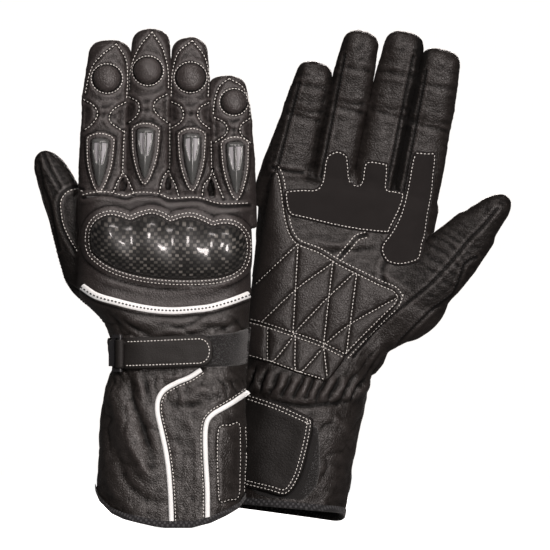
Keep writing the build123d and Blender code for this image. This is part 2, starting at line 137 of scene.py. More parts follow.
# All lines and outlines below are points (x, z), seen through from the back of the hand.
# Domed pads near the fingertips: centre x, centre z, radius
DOMES = {"index": (-40.3, 278.0, 8.3), "middle": (-14.9, 282.8, 8.3),
         "ring": (11.5, 278.7, 8.7), "little": (38.4, 263.4, 7.5)}
# Shields on the fingers: centre x, foot z, top z
SHIELDS = {"index": (-45.2, 211.0, 240.6), "middle": (-16.9, 216.0, 246.8),
           "ring": (12.6, 211.8, 243.6), "little": (40.0, 206.2, 238.4)}
# Right half of a shield: share of the outward growth sideways and upwards comes in
# shield_outline()
GUARD = [
    (-49.4, 177.1), (-48.8, 183.7), (-45.5, 188.9), (-38.9, 191.7), (-32.2, 190.7), (-25.6, 188.7),
    (-19.0, 191.2), (-12.3, 192.6), (-6.8, 190.9), (-1.2, 187.8), (5.4, 189.7), (12.0, 190.5),
    (18.7, 188.1), (25.3, 185.2), (30.9, 186.4), (37.5, 185.8), (42.5, 182.0), (44.7, 175.9),
    (44.2, 168.2), (41.4, 161.6), (34.2, 157.1), (23.1, 154.9), (5.4, 154.4), (-11.2, 155.5),
    (-25.6, 158.2), (-36.7, 162.1), (-44.4, 167.1), (-48.3, 171.5)]
SUEDE_GRIP = [
    (36.1, 199.3), (28.6, 201.3), (21.0, 202.8), (18.3, 206.1), (17.8, 212.4), (18.2, 220.2),
    (17.0, 225.5), (11.5, 229.2), (5.6, 227.8), (3.5, 224.2), (1.0, 214.6), (-1.7, 210.6),
    (-5.5, 210.4), (-6.6, 214.3), (-6.2, 220.5), (-6.8, 225.1), (-10.3, 227.1), (-17.1, 227.3),
    (-20.8, 226.9), (-22.3, 219.1), (-23.5, 211.4), (-28.1, 211.2), (-34.3, 211.0), (-35.1, 206.9),
    (-34.2, 200.0), (-32.6, 194.0), (-30.6, 186.9), (-29.8, 183.9), (-21.2, 182.8), (-7.9, 181.9),
    (1.2, 181.8), (14.8, 182.3), (26.2, 182.8), (32.4, 183.1), (35.7, 186.4), (38.2, 192.7),
    (39.2, 197.5)]
SUEDE_STRIP = [
    (-36.5, 237.8), (-42.5, 238.6), (-48.9, 238.7), (-50.4, 226.8), (-51.6, 213.5), (-51.7, 200.0),
    (-52.4, 186.7), (-53.0, 175.7), (-51.8, 170.7), (-45.6, 167.4), (-39.3, 165.4), (-32.4, 165.8),
    (-28.1, 169.4), (-26.2, 174.7), (-27.5, 179.5), (-30.3, 185.1), (-32.8, 192.9), (-34.2, 200.0),
    (-35.0, 210.3), (-35.2, 218.2), (-34.9, 228.3), (-35.3, 235.1)]
THUMB_SEAM = [
    (-93.0, 212.0), (-86.7, 200.0), (-79.7, 189.6), (-72.2, 175.8), (-61.9, 159.1), (-51.0, 145.7),
    (-41.8, 134.9), (-33.0, 121.9), (-23.2, 104.5)]
THUMB_OUTER_SEAM = [
    (-86.0, 180.1), (-80.2, 175.1), (-79.1, 169.2), (-77.6, 160.1), (-74.6, 152.9), (-66.1, 143.8),
    (-60.8, 136.5), (-54.3, 127.2), (-48.0, 117.4)]
PALM_DART = [(-2.4, 163.3), (-7.5, 172.2), (-10.9, 177.9), (-16.0, 180.6)]
HEEL_TOP = [
    (47.0, 211.0), (44.4, 208.0), (42.0, 203.2), (39.4, 195.8), (36.6, 187.3), (33.3, 178.9),
    (29.9, 172.8), (24.1, 167.9), (10.7, 165.4), (-3.2, 160.3), (-16.8, 156.5), (-30.5, 152.7),
    (-39.9, 150.7), (-44.6, 146.4)]
HEEL_THUMB_SIDE = [
    (-44.1, 148.7), (-43.0, 141.4), (-37.0, 132.5), (-30.0, 122.1), (-25.0, 114.7), (-18.1, 103.7)]
HEEL_CROSS_SEAM = [(49.7, 114.3), (36.7, 113.6), (16.9, 111.0), (-1.7, 108.2), (-18.1, 103.7)]
HEEL_LOW = [
    (46, 91.9), (43.4, 91.7), (27.0, 90.4), (8.4, 87.5), (-8.7, 85.7), (-15.4, 97.3),
    (-18.1, 103.7)]
HEEL = HEEL_TOP + HEEL_THUMB_SIDE[1:-1] + [
    (-18.1, 103.7), (-15.4, 97.3), (-10.9, 88.2), (-8.7, 85.9), (8.4, 87.5), (27.0, 90.4),
    (44.5, 91.8), (46.0, 96.0), (46.6, 114.0), (47.2, 140.0), (47.6, 165.0), (48.4, 190.0),
    (48.4, 205.0)]
HEEL_FOOT_SEAM = [(44.5, 93.2), (27.0, 91.8), (8.4, 88.9), (-8.2, 87.2)]
HEEL_QUILTING = [
    [(24.4, 165.1), (17.2, 112.3)], [(1.3, 160.8), (-2.9, 108.5)], [(-14.7, 157.2), (-18.0, 103.7)],
    [(37.1, 115.5), (19.9, 139.5), (0.6, 160.0)], [(16.9, 111.0), (1.1, 136.0), (-14.1, 157.0)],
    [(-3.5, 108.6), (-16.7, 124.0), (-43.2, 146.6)], [(47.3, 135.0), (24.6, 167.2)],
    [(33.2, 111.8), (27.8, 90.9), (16.6, 109.2)], [(15.6, 110.7), (9.8, 87.9), (-2.3, 105.1)],
    [(-3.0, 107.8), (-9.9, 86.0)], [(-14.4, 89.4), (-18.4, 101.8)]]
FLAP = [
    (40.8, 70.4), (38.6, 70.1), (17.4, 67.1), (-3.0, 62.1), (-5.8, 59.4), (-6.1, 42.7),
    (-4.1, 23.0), (1.9, 11.6), (14.2, 11.6), (36.6, 12.6), (40.4, 13.0), (41.2, 16.0),
    (41.2, 40.0), (41.2, 66.0)]
FLAP_TAPE = [
    (25.0, 60.0), (-4.0, 57.5), (-9.3, 56.0), (-13.6, 41.6), (-15.6, 24.0), (-11.1, 14.2),
    (-4.5, 10.5), (25.0, 13.0)]
# the part of the flap's tape that carries fuzz
FLAP_FUZZ = [
    (-4, 57), (-9.3, 56.0), (-13.6, 41.6), (-15.6, 24.0), (-11.1, 14.2), (-5.5, 11.5), (-8.5, 30),
    (-9.5, 48)]
WRIST_TAPE = [
    (3.5, 99.4), (24, 99.2), (40, 100.0), (46.6, 101.5), (47.4, 110), (48.8, 124.0), (45.0, 122.4),
    (38, 120.4), (25, 119.0), (4.0, 117.5)]
CUFF_PIPING_LEFT = [
    (18.2, 97.6), (11.1, 93.0), (2.6, 89.3), (-4.8, 84.9), (-8.4, 79.0), (-8.9, 71.5),
    (-6.9, 61.8), (-4.0, 48.8), (-2.0, 35.5), (-0.8, 20.0), (-0.1, 2.8)]
CUFF_PIPING_RIGHT = [
    (47.2, 83.6), (39.3, 78.2), (32.3, 74.0), (26.3, 70.6), (22.2, 66.2), (20.9, 60.4),
    (20.7, 53.1), (21.1, 41.3), (22.1, 23.5), (22.2, 4.4)]
HAND_PIPING = [
    (-55.5, 148.9), (-46.8, 143.3), (-34.9, 139.7), (-23.1, 136.7), (-11.2, 134.7), (0.7, 134.0),
    (12.5, 134.7), (24.4, 136.2), (36.2, 139.7), (47.6, 144.0)]
KNUCKLE_SEAM = [
    (-55.0, 204.2), (-47.7, 205.8), (-38.9, 205.8), (-28.9, 203.6), (-23.4, 205.3), (-16.7, 205.8),
    (-7.9, 204.7), (-1.2, 202.0), (8.7, 202.5), (16.5, 202.5), (25.3, 199.8), (33.1, 198.6),
    (48.0, 199.2)]
TIP_SEAMS = [
    [(-34.5, 299.5), (-44.0, 292.0), (-50.0, 284.0), (-54.0, 268.0)],
    [(-34.5, 299.5), (-28.6, 290.0), (-27.6, 278.0), (-28.2, 266.0)],
    [(-12.3, 307.0), (-20.5, 297.0), (-25.5, 284.0), (-26.2, 270.0)],
    [(-12.3, 307.0), (-5.6, 296.0), (-2.6, 284.0), (-2.2, 271.0)],
    [(12.6, 301.5), (4.0, 294.0), (0.4, 282.0), (-0.4, 267.0)],
    [(12.6, 301.5), (20.0, 292.0), (22.6, 281.0), (22.4, 267.0)],
    [(35.4, 278.0), (29.4, 273.0), (26.4, 264.0), (25.6, 256.0)],
    [(35.4, 278.0), (43.6, 273.0), (47.6, 264.0), (48.4, 254.0)]]
FINGER_SIDE_ARCS = [
    [(-54.8, 265.1), (-48.3, 261.1), (-46.0, 255.7), (-49.6, 249.6), (-54.8, 245.7)],
    [(-28.6, 263.4), (-35.6, 259.4), (-38.9, 254.6), (-37.4, 250.2), (-30.0, 245.1)],
    [(-26.6, 266.7), (-21.0, 263.4), (-20.4, 257.9), (-23.0, 253.5), (-27.4, 250.1)],
    [(-3.0, 268.4), (-9.8, 264.6), (-11.4, 260.1), (-9.2, 255.7), (-2.8, 250.7)],
    [(-0.3, 263.6), (5.0, 261.2), (7.3, 256.2), (5.6, 251.2), (-0.1, 247.3)],
    [(22.9, 263.2), (17.5, 260.1), (15.8, 255.7), (18.0, 251.2), (23.4, 246.8)],
    [(26.2, 254.0), (32.0, 251.2), (34.6, 246.8), (33.0, 242.9), (26.0, 237.9)],
    [(48.4, 253.4), (43.4, 249.9), (42.0, 246.0), (43.8, 241.9), (48.8, 237.9)]]
WEB_SEAMS = [
    [(-29.4, 245.5), (-30.1, 235.5), (-30.4, 225.1), (-30.8, 218.9)],
    [(-30.8, 218.9), (-33.5, 214.0), (-36.3, 207.5)],
    [(-30.6, 219.5), (-28.6, 217.5), (-25.9, 212.0), (-23.5, 206.8)],
    [(-1.4, 250.0), (-1.4, 239.0), (-1.4, 225.1), (-2.0, 221.0)],
    [(-2.0, 221.0), (-4.5, 218.2), (-6.5, 213.3), (-7.9, 206.4)],
    [(-2.0, 221.0), (-0.6, 216.8), (1.8, 212.7), (4.5, 204.4)],
    [(24.4, 239.0), (24.6, 225.1), (25.0, 221.5)],
    [(25.0, 221.0), (23.3, 216.1), (19.8, 212.0), (18.7, 204.4)],
    [(25.0, 221.5), (27.4, 214.7), (32.2, 203.0)]]
WEB_HOLLOWS = [
    [(-30.6, 217.5), (-32.9, 211.2), (-31.8, 207.6), (-29.4, 207.6), (-27.3, 211.2),
     (-29.2, 216.8)],
    [(-3.2, 217.5), (-4.8, 211.2), (-2.4, 208.0), (0.1, 211.2), (-1.7, 217.5)],
    [(23.5, 215.4), (21.7, 209.9), (23.3, 204.6), (25.3, 203.2), (27.0, 205.7), (26.7, 211.2),
     (25.3, 215.4)]]
THUMB_BACK_SEAM = [(-79.6, 231.4), (-76.0, 222.5), (-69.3, 210.1)]
THUMB_EDGE_SEAM = [(-82.6, 226.0), (-80.3, 213.0), (-76.0, 200.5), (-73.3, 186.0), (-70.0, 172.0)]
THUMB_PATCH = [
    (-55.0, 209.4), (-60.3, 210.8), (-66.6, 208.2), (-70.1, 202.5), (-70.2, 195.9), (-68.5, 187.0),
    (-64.6, 178.1), (-59.9, 170.3)]
CUFF_FRAME = [
    (29.4, 61.5), (36.0, 63.2), (41.6, 64.0), (42.4, 50.0), (42.2, 34.0), (41.2, 19.0),
    (35.0, 17.0), (29.8, 16.4), (28.6, 30.0), (28.2, 46.0)]
CUFF_EDGE_SEAM = [(45.6, 62), (46.4, 40), (45.4, 21)]
# Stalls with a long seam on the palm side, and the x side it runs on
SIDE_PANELS = (("little", 1), ("ring", 1), ("middle", -1), ("index", 1))

# Soft folds: height (a valley where negative), half width, line
HAND_FOLDS = [
    (-0.8, 2.0, [(-50, 163), (-38, 157), (-22, 151.5), (0, 149), (22, 150), (36, 155)]),
    (0.9, 2.2, [(-46, 155), (-34, 150.5), (-18, 147)]),
    (0.9, 2.4, [(5, 146.5), (24, 147.5), (38, 152)]),
    (0.8, 2.2, [(10, 197), (26, 195), (42, 191)]),
    (0.6, 2.0, [(-20, 198.5), (-6, 197), (6, 195)])]
WRIST_FOLDS = [
    (1.7, 4.2, [(-30, 130), (-10, 127), (12, 126.5), (34, 130)]),
    (-1.5, 1.8, [(-40, 133), (-34, 127), (-27, 121)]),
    (-1.2, 1.6, [(-34, 131), (-24, 124), (-14, 119.5)]),
    (-1.1, 1.7, [(4, 123.5), (14, 127), (20, 132)]),
    (-1.2, 2.0, [(28, 121), (40, 127)]),
    (0.9, 2.0, [(-12, 120), (4, 121.5), (24, 122)])]
CUFF_FOLDS = [
    (2.2, 5.0, [(-38, 90), (-33, 74), (-24, 52), (-13, 26)]),
    (-2.2, 2.6, [(-27, 93), (-24, 78), (-17, 60), (-12, 44)]),
    (0.9, 2.2, [(-30, 60), (-22, 44), (-12, 30)]),
    (-0.9, 2.6, [(-36, 40), (-26, 26), (-12, 14)]),
    (0.8, 2.8, [(-42, 34), (-34, 20), (-22, 10)]),
    (-1.3, 1.8, [(-17, 95), (-15, 86), (-13, 76)]),
    (1.1, 1.9, [(-22, 96), (-20, 88), (-17, 79)]),
    (-0.9, 3.0, [(-41, 62), (-35, 46), (-26, 26)]),
    (0.8, 1.8, [(-6, 94), (2, 92.5), (9, 95)]),
    (1.6, 3.2, [(8, 80), (16, 84), (26, 84)]),
    (-0.9, 2.0, [(4, 76), (14, 76), (22, 79)]),
    (0.8, 2.8, [(4, 70), (12, 64), (15, 52)])]
PALM_FOLDS = [
    (0.9, 2.4, [(-12, 176), (0, 171), (16, 170)]),
    (-0.7, 1.6, [(-26, 176), (-12, 170), (4, 166)]),
    (0.8, 2.2, [(-24, 160), (-36, 157), (-48, 152)]),
    (0.7, 2.0, [(-27, 150), (-34, 141), (-38, 132)]),
    (-1.3, 1.9, [(28, 68.5), (6, 68.0), (-14, 73), (-28, 78)]),
    (0.9, 3.2, [(-12, 68), (-26, 60), (-33, 46)]),
    (-0.8, 1.8, [(-24, 92), (-30, 82), (-33, 68)]),
    (0.8, 1.8, [(-18, 90), (-24, 80), (-27, 70)]),
    (0.6, 2.6, [(-28, 30), (-24, 16), (-18, 6)])]


# ------------------------------------------------------------------ lines and numbers
def catmull(points, step=1.0, closed=False):
    """A smooth line through the points, with its own points about a step apart."""
    points = np.asarray(points, float)
    count = len(points)
    runs = []
    for i in range(count if closed else count - 1):
        if closed:
            before, start, end, after = points[np.arange(i - 1, i + 3) % count]
        else:
            start, end = points[i], points[i + 1]
            before = points[i - 1] if i else 2 * start - end
            after = points[i + 2] if i + 2 < count else 2 * end - start
        parts = max(1, int(np.linalg.norm(end - start) / step))
        along = (np.arange(parts) / parts)[:, None]
        runs.append(0.5 * ((2 * start) + (end - before) * along
                           + (2 * before - 5 * start + 4 * end - after) * along ** 2
                           + (3 * start - before - 3 * end + after) * along ** 3))
    if not closed:
        runs.append(points[-1:])
    return np.concatenate(runs)


def resample(line, step, closed=False):
    line = np.asarray(line, float)
    if closed:
        line = np.vstack([line, line[:1]])
    lengths = np.linalg.norm(np.diff(line, axis=0), axis=1)
    reached = np.concatenate([[0], np.cumsum(lengths)])
    total = reached[-1]
    count = max(2, int(round(total / step)) + (0 if closed else 1))
    at = np.linspace(0, total, count + 1)[:-1] if closed else np.linspace(0, total, count)
    return np.stack([np.interp(at, reached, column) for column in line.T], -1)


def left_normals(line, closed=False):
    """Unit directions to the left of travel at each point of a line."""
    if closed:
        run = np.roll(line, -1, 0) - np.roll(line, 1, 0)
    else:
        run = np.gradient(line, axis=0)
    run /= np.maximum(np.linalg.norm(run, axis=1), 1e-9)[:, None]
    return np.stack([-run[:, 1], run[:, 0]], -1)


def offset_line(line, offset, closed=False, curved=True):
    """A line beside this one, to the left where the offset is positive."""
    line = catmull(line, 1.0, closed) if curved else np.asarray(line, float)
    line = resample(line, 1.0, closed)
    return line + left_normals(line, closed) * offset


def double(line, gap):
    return offset_line(line, gap / 2), offset_line(line, -gap / 2)


def inside(outline, x, z):
    outline = np.asarray(outline, float)
    result = np.zeros(np.shape(x), bool)
    for (ax, az), (bx, bz) in zip(outline, np.roll(outline, -1, 0)):
        if az != bz:
            result ^= ((az > z) != (bz > z)) & (x < (bx - ax) * (z - az) / (bz - az) + ax)
    return result


def segment_distances(line, x, z):
    """For each segment its start, its run, and the squared distance of all points to it."""
    for (ax, az), (bx, bz) in zip(line[:-1], line[1:]):
        run_x, run_z = bx - ax, bz - az
        square = run_x * run_x + run_z * run_z
        if square < 1e-12:
            continue
        along = np.clip(((x - ax) * run_x + (z - az) * run_z) / square, 0, 1)
        apart = (x - ax - along * run_x) ** 2 + (z - az - along * run_z) ** 2
        yield ax, az, run_x, run_z, apart


def line_distance(line, x, z, closed=False):
    line = np.asarray(line, float)
    if closed:
        line = np.vstack([line, line[:1]])
    best = np.full(np.shape(x), 1e9)
    for *_, apart in segment_distances(line, x, z):
        best = np.minimum(best, apart)
    return np.sqrt(best)


def smoothstep(t):
    t = np.clip(t, 0, 1)
    return t * t * (3 - 2 * t)


def bell(offset, width, power=2):
    return np.exp(-((offset / width) ** power))


def rounded(t):
    """A quarter circle from 0 up to 1."""
    return np.sqrt(np.clip(1 - (1 - np.clip(t, 0, 1)) ** 2, 0, 1))


def pleats(across, pitch, power, level):
    """Rounded ridges a pitch apart, with sharp valleys between them."""
    return np.abs(np.sin(across * math.pi / pitch)) ** power - level


def unit(vector):
    return vector / max(np.linalg.norm(vector), 1e-9)


def noise3(points, scale, seed):
    """Smooth repeatable noise from turned cosine waves, between -1.6 and 1.6."""
    draw = np.random.RandomState(seed)
    result, strength, total = np.zeros(len(points)), 1.0, 0.0
    for octave in range(3):
        layer = np.zeros(len(points))
        for _ in range(9):
            direction = draw.normal(size=3)
            direction /= np.linalg.norm(direction)
            rate = (2 * math.pi / scale) * (2 ** octave) * draw.uniform(0.6, 1.4)
            layer += np.cos(points @ direction * rate + draw.uniform(0, 6.283))
        result += strength * layer / 3.0
        total += strength
        strength *= 0.5
    return np.clip(result / total, -1.6, 1.6)


# ------------------------------------------------------------------ mesh helpers
def super_ring(count, half_x, half_y, power):
    turn = np.linspace(0, 2 * math.pi, count, endpoint=False)
    cos, sin = np.cos(turn), np.sin(turn)
    return np.stack([half_x * np.sign(cos) * np.abs(cos) ** (2 / power),
                     half_y * np.sign(sin) * np.abs(sin) ** (2 / power)], -1)


def rings_mesh(rings, cap_start=True, cap_end=True, closed=True):
    count = len(rings[0])
    verts = np.concatenate(rings)
    faces = []
    for i in range(len(rings) - 1):
        low, high = i * count, (i + 1) * count
        for j in range(count if closed else count - 1):
            k = (j + 1) % count
            faces.append((low + j, low + k, high + k, high + j))
    if cap_start:
        verts = np.vstack([verts, rings[0].mean(0)])
        centre = len(verts) - 1
        faces += [(centre, (j + 1) % count, j) for j in range(count)]
    if cap_end:
        verts = np.vstack([verts, rings[-1].mean(0)])
        centre = len(verts) - 1
        last = (len(rings) - 1) * count
        faces += [(centre, last + j, last + (j + 1) % count) for j in range(count)]
    return verts, faces


def flipped(faces):
    return [face[::-1] for face in faces]


def join_meshes(parts):
    all_verts, all_faces, offset = [], [], 0
    for verts, faces in parts:
        all_verts.append(verts)
        all_faces += [tuple(i + offset for i in face) for face in faces]
        offset += len(verts)
    return np.vstack(all_verts), all_faces


def ellipsoid(centre, radii, count, sections, lean=0.0):
    """A closed blob, leaning in the XZ plane."""
    lean = math.radians(lean)
    rings = []
    for turn in np.linspace(-math.pi / 2, math.pi / 2, sections)[1:-1]:
        ring = super_ring(count, radii[0] * math.cos(turn), radii[1] * math.cos(turn), 2.0)
        z = np.full(count, radii[2] * math.sin(turn))
        leant_x = ring[:, 0] * math.cos(lean) + z * math.sin(lean)
        leant_z = -ring[:, 0] * math.sin(lean) + z * math.cos(lean)
        rings.append(np.stack([leant_x + centre[0], ring[:, 1] + centre[1],
                               leant_z + centre[2]], -1))
    return rings_mesh(rings)


def search_tree(verts, faces):
    return BVHTree.FromPolygons(np.asarray(verts).tolist(),
                                [tuple(int(i) for i in face) for face in faces])


def to_object(name, verts, faces, scale=1.0):
    mesh = bpy.data.meshes.new(name)
    mesh.from_pydata((np.asarray(verts) * scale).tolist(), [], [tuple(face) for face in faces])
    mesh.update()
    obj = bpy.data.objects.new(name, mesh)
    bpy.context.scene.collection.objects.link(obj)
    return obj


def evaluated_mesh(obj):
    """The vertex places and the corner list of an object with its modifiers applied."""
    depsgraph = bpy.context.evaluated_depsgraph_get()
    mesh = bpy.data.meshes.new_from_object(obj.evaluated_get(depsgraph))
    verts = np.empty(len(mesh.vertices) * 3)
    mesh.vertices.foreach_get("co", verts)
    corners = np.empty(len(mesh.loops), int)
    mesh.loops.foreach_get("vertex_index", corners)
    bpy.data.objects.remove(obj)
    bpy.data.meshes.remove(mesh)
    return verts.reshape(-1, 3), corners


def voxel_union(parts, voxel):
    """One quad skin round all the parts."""
    obj = to_object("tmp_union", *join_meshes(parts))
    remesh = obj.modifiers.new("r", "REMESH")
    remesh.mode = "VOXEL"
    remesh.voxel_size = voxel
    verts, corners = evaluated_mesh(obj)
    return keep_largest(verts, corners.reshape(-1, 4))


def face_sides(faces):
    return np.concatenate([faces[:, [0, 1]], faces[:, [1, 2]], faces[:, [2, 3]], faces[:, [3, 0]]])


def keep_largest(verts, faces):
    """Drops all but the largest connected shell."""
    label = np.arange(len(verts))
    sides = face_sides(faces)
    for _ in range(400):
        lowest = np.minimum(label[sides[:, 0]], label[sides[:, 1]])
        spread = label.copy()
        np.minimum.at(spread, sides[:, 0], lowest)
        np.minimum.at(spread, sides[:, 1], lowest)
        spread = spread[spread]
        if (spread == label).all():
            break
        label = spread
    labels, sizes = np.unique(label, return_counts=True)
    keep = label == labels[sizes.argmax()]
    index = -np.ones(len(verts), int)
    index[keep] = np.arange(keep.sum())
    return verts[keep], index[faces[keep[faces[:, 0]]]]


def edges_of(faces):
    edges = face_sides(faces)
    edges.sort(axis=1)
    return np.unique(edges, axis=0)


def smooth(values, edges, rounds, steps=(0.5,), mask=None):
    """Moves each value towards the mean of its neighbours by each step in turn."""
    i, j = edges[:, 0], edges[:, 1]
    count = len(values)
    degree = np.maximum(np.bincount(i, minlength=count) + np.bincount(j, minlength=count), 1)
    columns = values.reshape(count, -1).copy()
    for _ in range(rounds):
        for step in steps:
            pull = np.empty_like(columns)
            for c in range(columns.shape[1]):
                now = columns[:, c]
                total = (np.bincount(i, weights=now[j], minlength=count)
                         + np.bincount(j, weights=now[i], minlength=count))
                pull[:, c] = total / degree - now
            if mask is not None:
                pull *= mask[:, None]
            columns += step * pull
    return columns.reshape(values.shape)


def vert_normals(verts, faces):
    across = np.cross(verts[faces[:, 2]] - verts[faces[:, 0]],
                      verts[faces[:, 3]] - verts[faces[:, 1]])
    normals = np.zeros_like(verts)
    for k in range(4):
        for c in range(3):
            normals[:, c] += np.bincount(faces[:, k], weights=across[:, c], minlength=len(verts))
    lengths = np.linalg.norm(normals, axis=1)
    lengths[lengths == 0] = 1
    return normals / lengths[:, None]


# ------------------------------------------------------------------ plain shapes of the leather
def body_section(key, z):
    """Centre x, half width and half depth of the body at a height."""
    table = np.array(BODY[key])
    z = np.clip(z, table[0, 0], table[-1, 0])
    i = int(np.clip(np.searchsorted(table[:, 0], z) - 1, 0, len(table) - 2))
    span = table[i + 1, 0] - table[i, 0]
    u = (z - table[i, 0]) / span

    def slope(k):
        low, high = table[max(k - 1, 0)], table[min(k + 1, len(table) - 1)]
        return (high[1:] - low[1:]) / (high[0] - low[0])

    return ((2 * u**3 - 3 * u**2 + 1) * table[i, 1:] + (u**3 - 2 * u**2 + u) * (slope(i) * span)
            + (-2 * u**3 + 3 * u**2) * table[i + 1, 1:] + (u**3 - u**2) * (slope(i + 1) * span))


def body_ring(key, z, grow=0.0, count=96):
    """A section of the body: a flat oval with a soft crown."""
    crown = 0.9
    centre, half_x, half_y = body_section(key, z)
    half_x, half_y = half_x + grow, half_y + grow
    radius = min(half_y * 0.96, half_x * 0.96)
    flat_x, flat_y = half_x - radius, half_y - radius
    ring = []
    quarter = count // 4
    for x, y, start in ((flat_x, flat_y, 0), (-flat_x, flat_y, 90),
                        (-flat_x, -flat_y, 180), (flat_x, -flat_y, 270)):
        for j in range(quarter):
            turn = math.radians(start + 90.0 * (j + 0.5) / quarter)
            ring.append((x + radius * math.cos(turn), y + radius * math.sin(turn)))
    ring = resample(np.array(ring), 1.0, closed=True)
    around = np.linalg.norm(np.diff(ring, axis=0), axis=1).sum() + 1
    ring = resample(ring, around / count, closed=True)[:count]
    while len(ring) < count:
        ring = np.vstack([ring, ring[-1:]])
    ring[:, 1] *= 1 + crown / half_y * (1 - np.clip(np.abs(ring[:, 0]) / half_x, 0, 1) ** 2)
    return np.stack([ring[:, 0] + centre, ring[:, 1], np.full(count, float(z))], -1)


def body_mesh(key):
    rings = [body_ring(key, z) for z in np.arange(-9, 206, 3.0)]
    last = body_ring(key, 206)
    centre_x = last.mean(0)[0]
    # the closed top: z, share of the width, share of the depth
    for z, width, depth in ((207.4, 0.985, 0.86), (208.6, 0.965, 0.66),
                            (209.3, 0.94, 0.40), (209.6, 0.92, 0.18)):
        ring = last.copy()
        ring[:, 0] = centre_x + (ring[:, 0] - centre_x) * width
        ring[:, 1] = ring[:, 1] * depth
        ring[:, 2] = z - 0.00045 * (ring[:, 0] - centre_x) ** 2
        rings.append(ring)
    return rings_mesh(rings)


def stall_frame(lean, curl):
    """Directions along, across and through a stall, from degrees of lean and curl."""
    lean, curl = math.radians(lean), math.radians(curl)
    along = np.array([math.sin(lean) * math.cos(curl), math.sin(curl),
                      math.cos(lean) * math.cos(curl)])
    across = np.array([math.cos(lean), 0, -math.sin(lean)])
    return along, across, np.cross(along, across)


def stall_axis(key, finger):
    """The root, the joint, and the directions and lengths below and above the joint."""
    if finger == "thumb":
        x, y, z, lean, low, high = THUMB[key]
        half_width, half_depth = 12.6, 10.0
        curl_low, curl_high = 2.0, 6.0
        tip = 3.2 if key == "a" else 4.0
    else:
        x, z, lean, half_width, half_depth, low, high = STALLS[key][finger]
        y, curl_low, curl_high, tip = 0.5, 3.0, 9.0, 1.2
    dir_low, x_low, y_low = stall_frame(lean, curl_low)
    dir_high, x_high, _ = stall_frame(lean, curl_high)
    root = np.array([x, y, z])
    return SimpleNamespace(root=root, joint=root + low * dir_low, dir_low=dir_low, x_low=x_low,
                           y_low=y_low, dir_high=dir_high, x_high=x_high, half_width=half_width,
                           half_depth=half_depth, low=low, high=high, length=low + high + tip)


def stall_point(axis, s):
    """Axis point and cross directions at a distance from the root, the joint's bend eased."""
    ease = smoothstep((s - axis.low + 9) / 18.0)
    along = unit(axis.dir_low * (1 - ease) + axis.dir_high * ease)
    across = axis.x_low * (1 - ease) + axis.x_high * ease
    through = np.cross(along, across)
    point = axis.root + axis.dir_low * min(s, axis.low) + axis.dir_high * max(s - axis.low, 0)
    return point, unit(across), unit(through)


def stall_size(key, finger, axis, s):
    """Half width, half depth and sideways shift at a distance from the root."""
    low, length = axis.low, axis.length
    end_length = 8.5
    if finger == "thumb":
        end_length = 12.0
        if key == "a":
            stations = [-22, -8, 0, 14, 28, low, low + 12, length - 22, length - 10, length]
            widths = [5.0, 12.6, 14.4, 14.4, 13.6, 12.8, 12.4, 11.6, 9.6, 7.4]
            depths = [10.0, 11.6, 11.8, 11.6, 11.0, 10.6, 10.6, 10.2, 9.6, 8.0]
        else:
            stations = [-22, -8, 0, 14, 28, low, low + 10, length - 24, length - 12, length]
            widths = [6.0, 16.8, 18.9, 19.0, 18.0, 16.2, 14.6, 12.2, 9.6, 6.6]
            depths = [10.0, 11.6, 11.8, 11.6, 11.2, 10.8, 10.6, 10.2, 9.4, 7.6]
    else:
        taper = 22 if finger != "little" else 17
        stations = [-20, 0, 14, low * 0.62, low - 2, low + 9, length - taper, length - 8, length]
        added = [1.6, 1.9, 2.0, 1.9, 1.3, 1.5, 0.7, -0.4, -1.2]
        if finger == "little" and key == "b":
            added = [5.2, 5.2, 4.6, 3.0, 1.9, 1.6, 0.4, -0.6, -1.4]
        widths = axis.half_width + np.array(added)
        depths = axis.half_depth + np.array([1.0, 1.0, 0.9, 0.7, 0.1, 0.5, -0.2, -0.9, -2.0])
    half_width, half_depth = np.interp(s, stations, widths), np.interp(s, stations, depths)
    shift = np.interp(s, *SHIFTS.get((key, finger), ([0], [0])))
    if s > length - end_length:
        end = (s - (length - end_length)) / end_length
        shrink = max(0.0, 1 - min(end, 1.0) ** 2.5) ** (1 / 2.5)
        half_width, half_depth = half_width * shrink, half_depth * shrink
    return max(half_width, 0.15), max(half_depth, 0.15), shift


def stall_rings(key, finger, start, grow=0.0, count=40, step=1.6, stop=None):
    axis = stall_axis(key, finger)
    shoulder = axis.length - 12
    stations = list(np.arange(start, shoulder, step))
    stations += list(shoulder + 12 * np.sin(np.linspace(0, math.pi / 2, 13)))
    rings = []
    for s in stations:
        if stop is not None and s >= stop:
            continue
        point, across, through = stall_point(axis, s)
        half_width, half_depth, shift = stall_size(key, finger, axis, s)
        ring = super_ring(count, max(half_width + grow, 0.1), max(half_depth + grow, 0.1), 2.2)
        rings.append(point + (ring[:, :1] + shift) * across + ring[:, 1:] * through)
    return rings


# ------------------------------------------------------------------ height drawings
# extent and spacing of the drawing grid
GRID_X0, GRID_X1, GRID_Z0, GRID_Z1, GRID_STEP = -108.0, 64.0, -14.0, 313.0, 0.4
GRID_NX = int((GRID_X1 - GRID_X0) / GRID_STEP) + 1
GRID_NZ = int((GRID_Z1 - GRID_Z0) / GRID_STEP) + 1


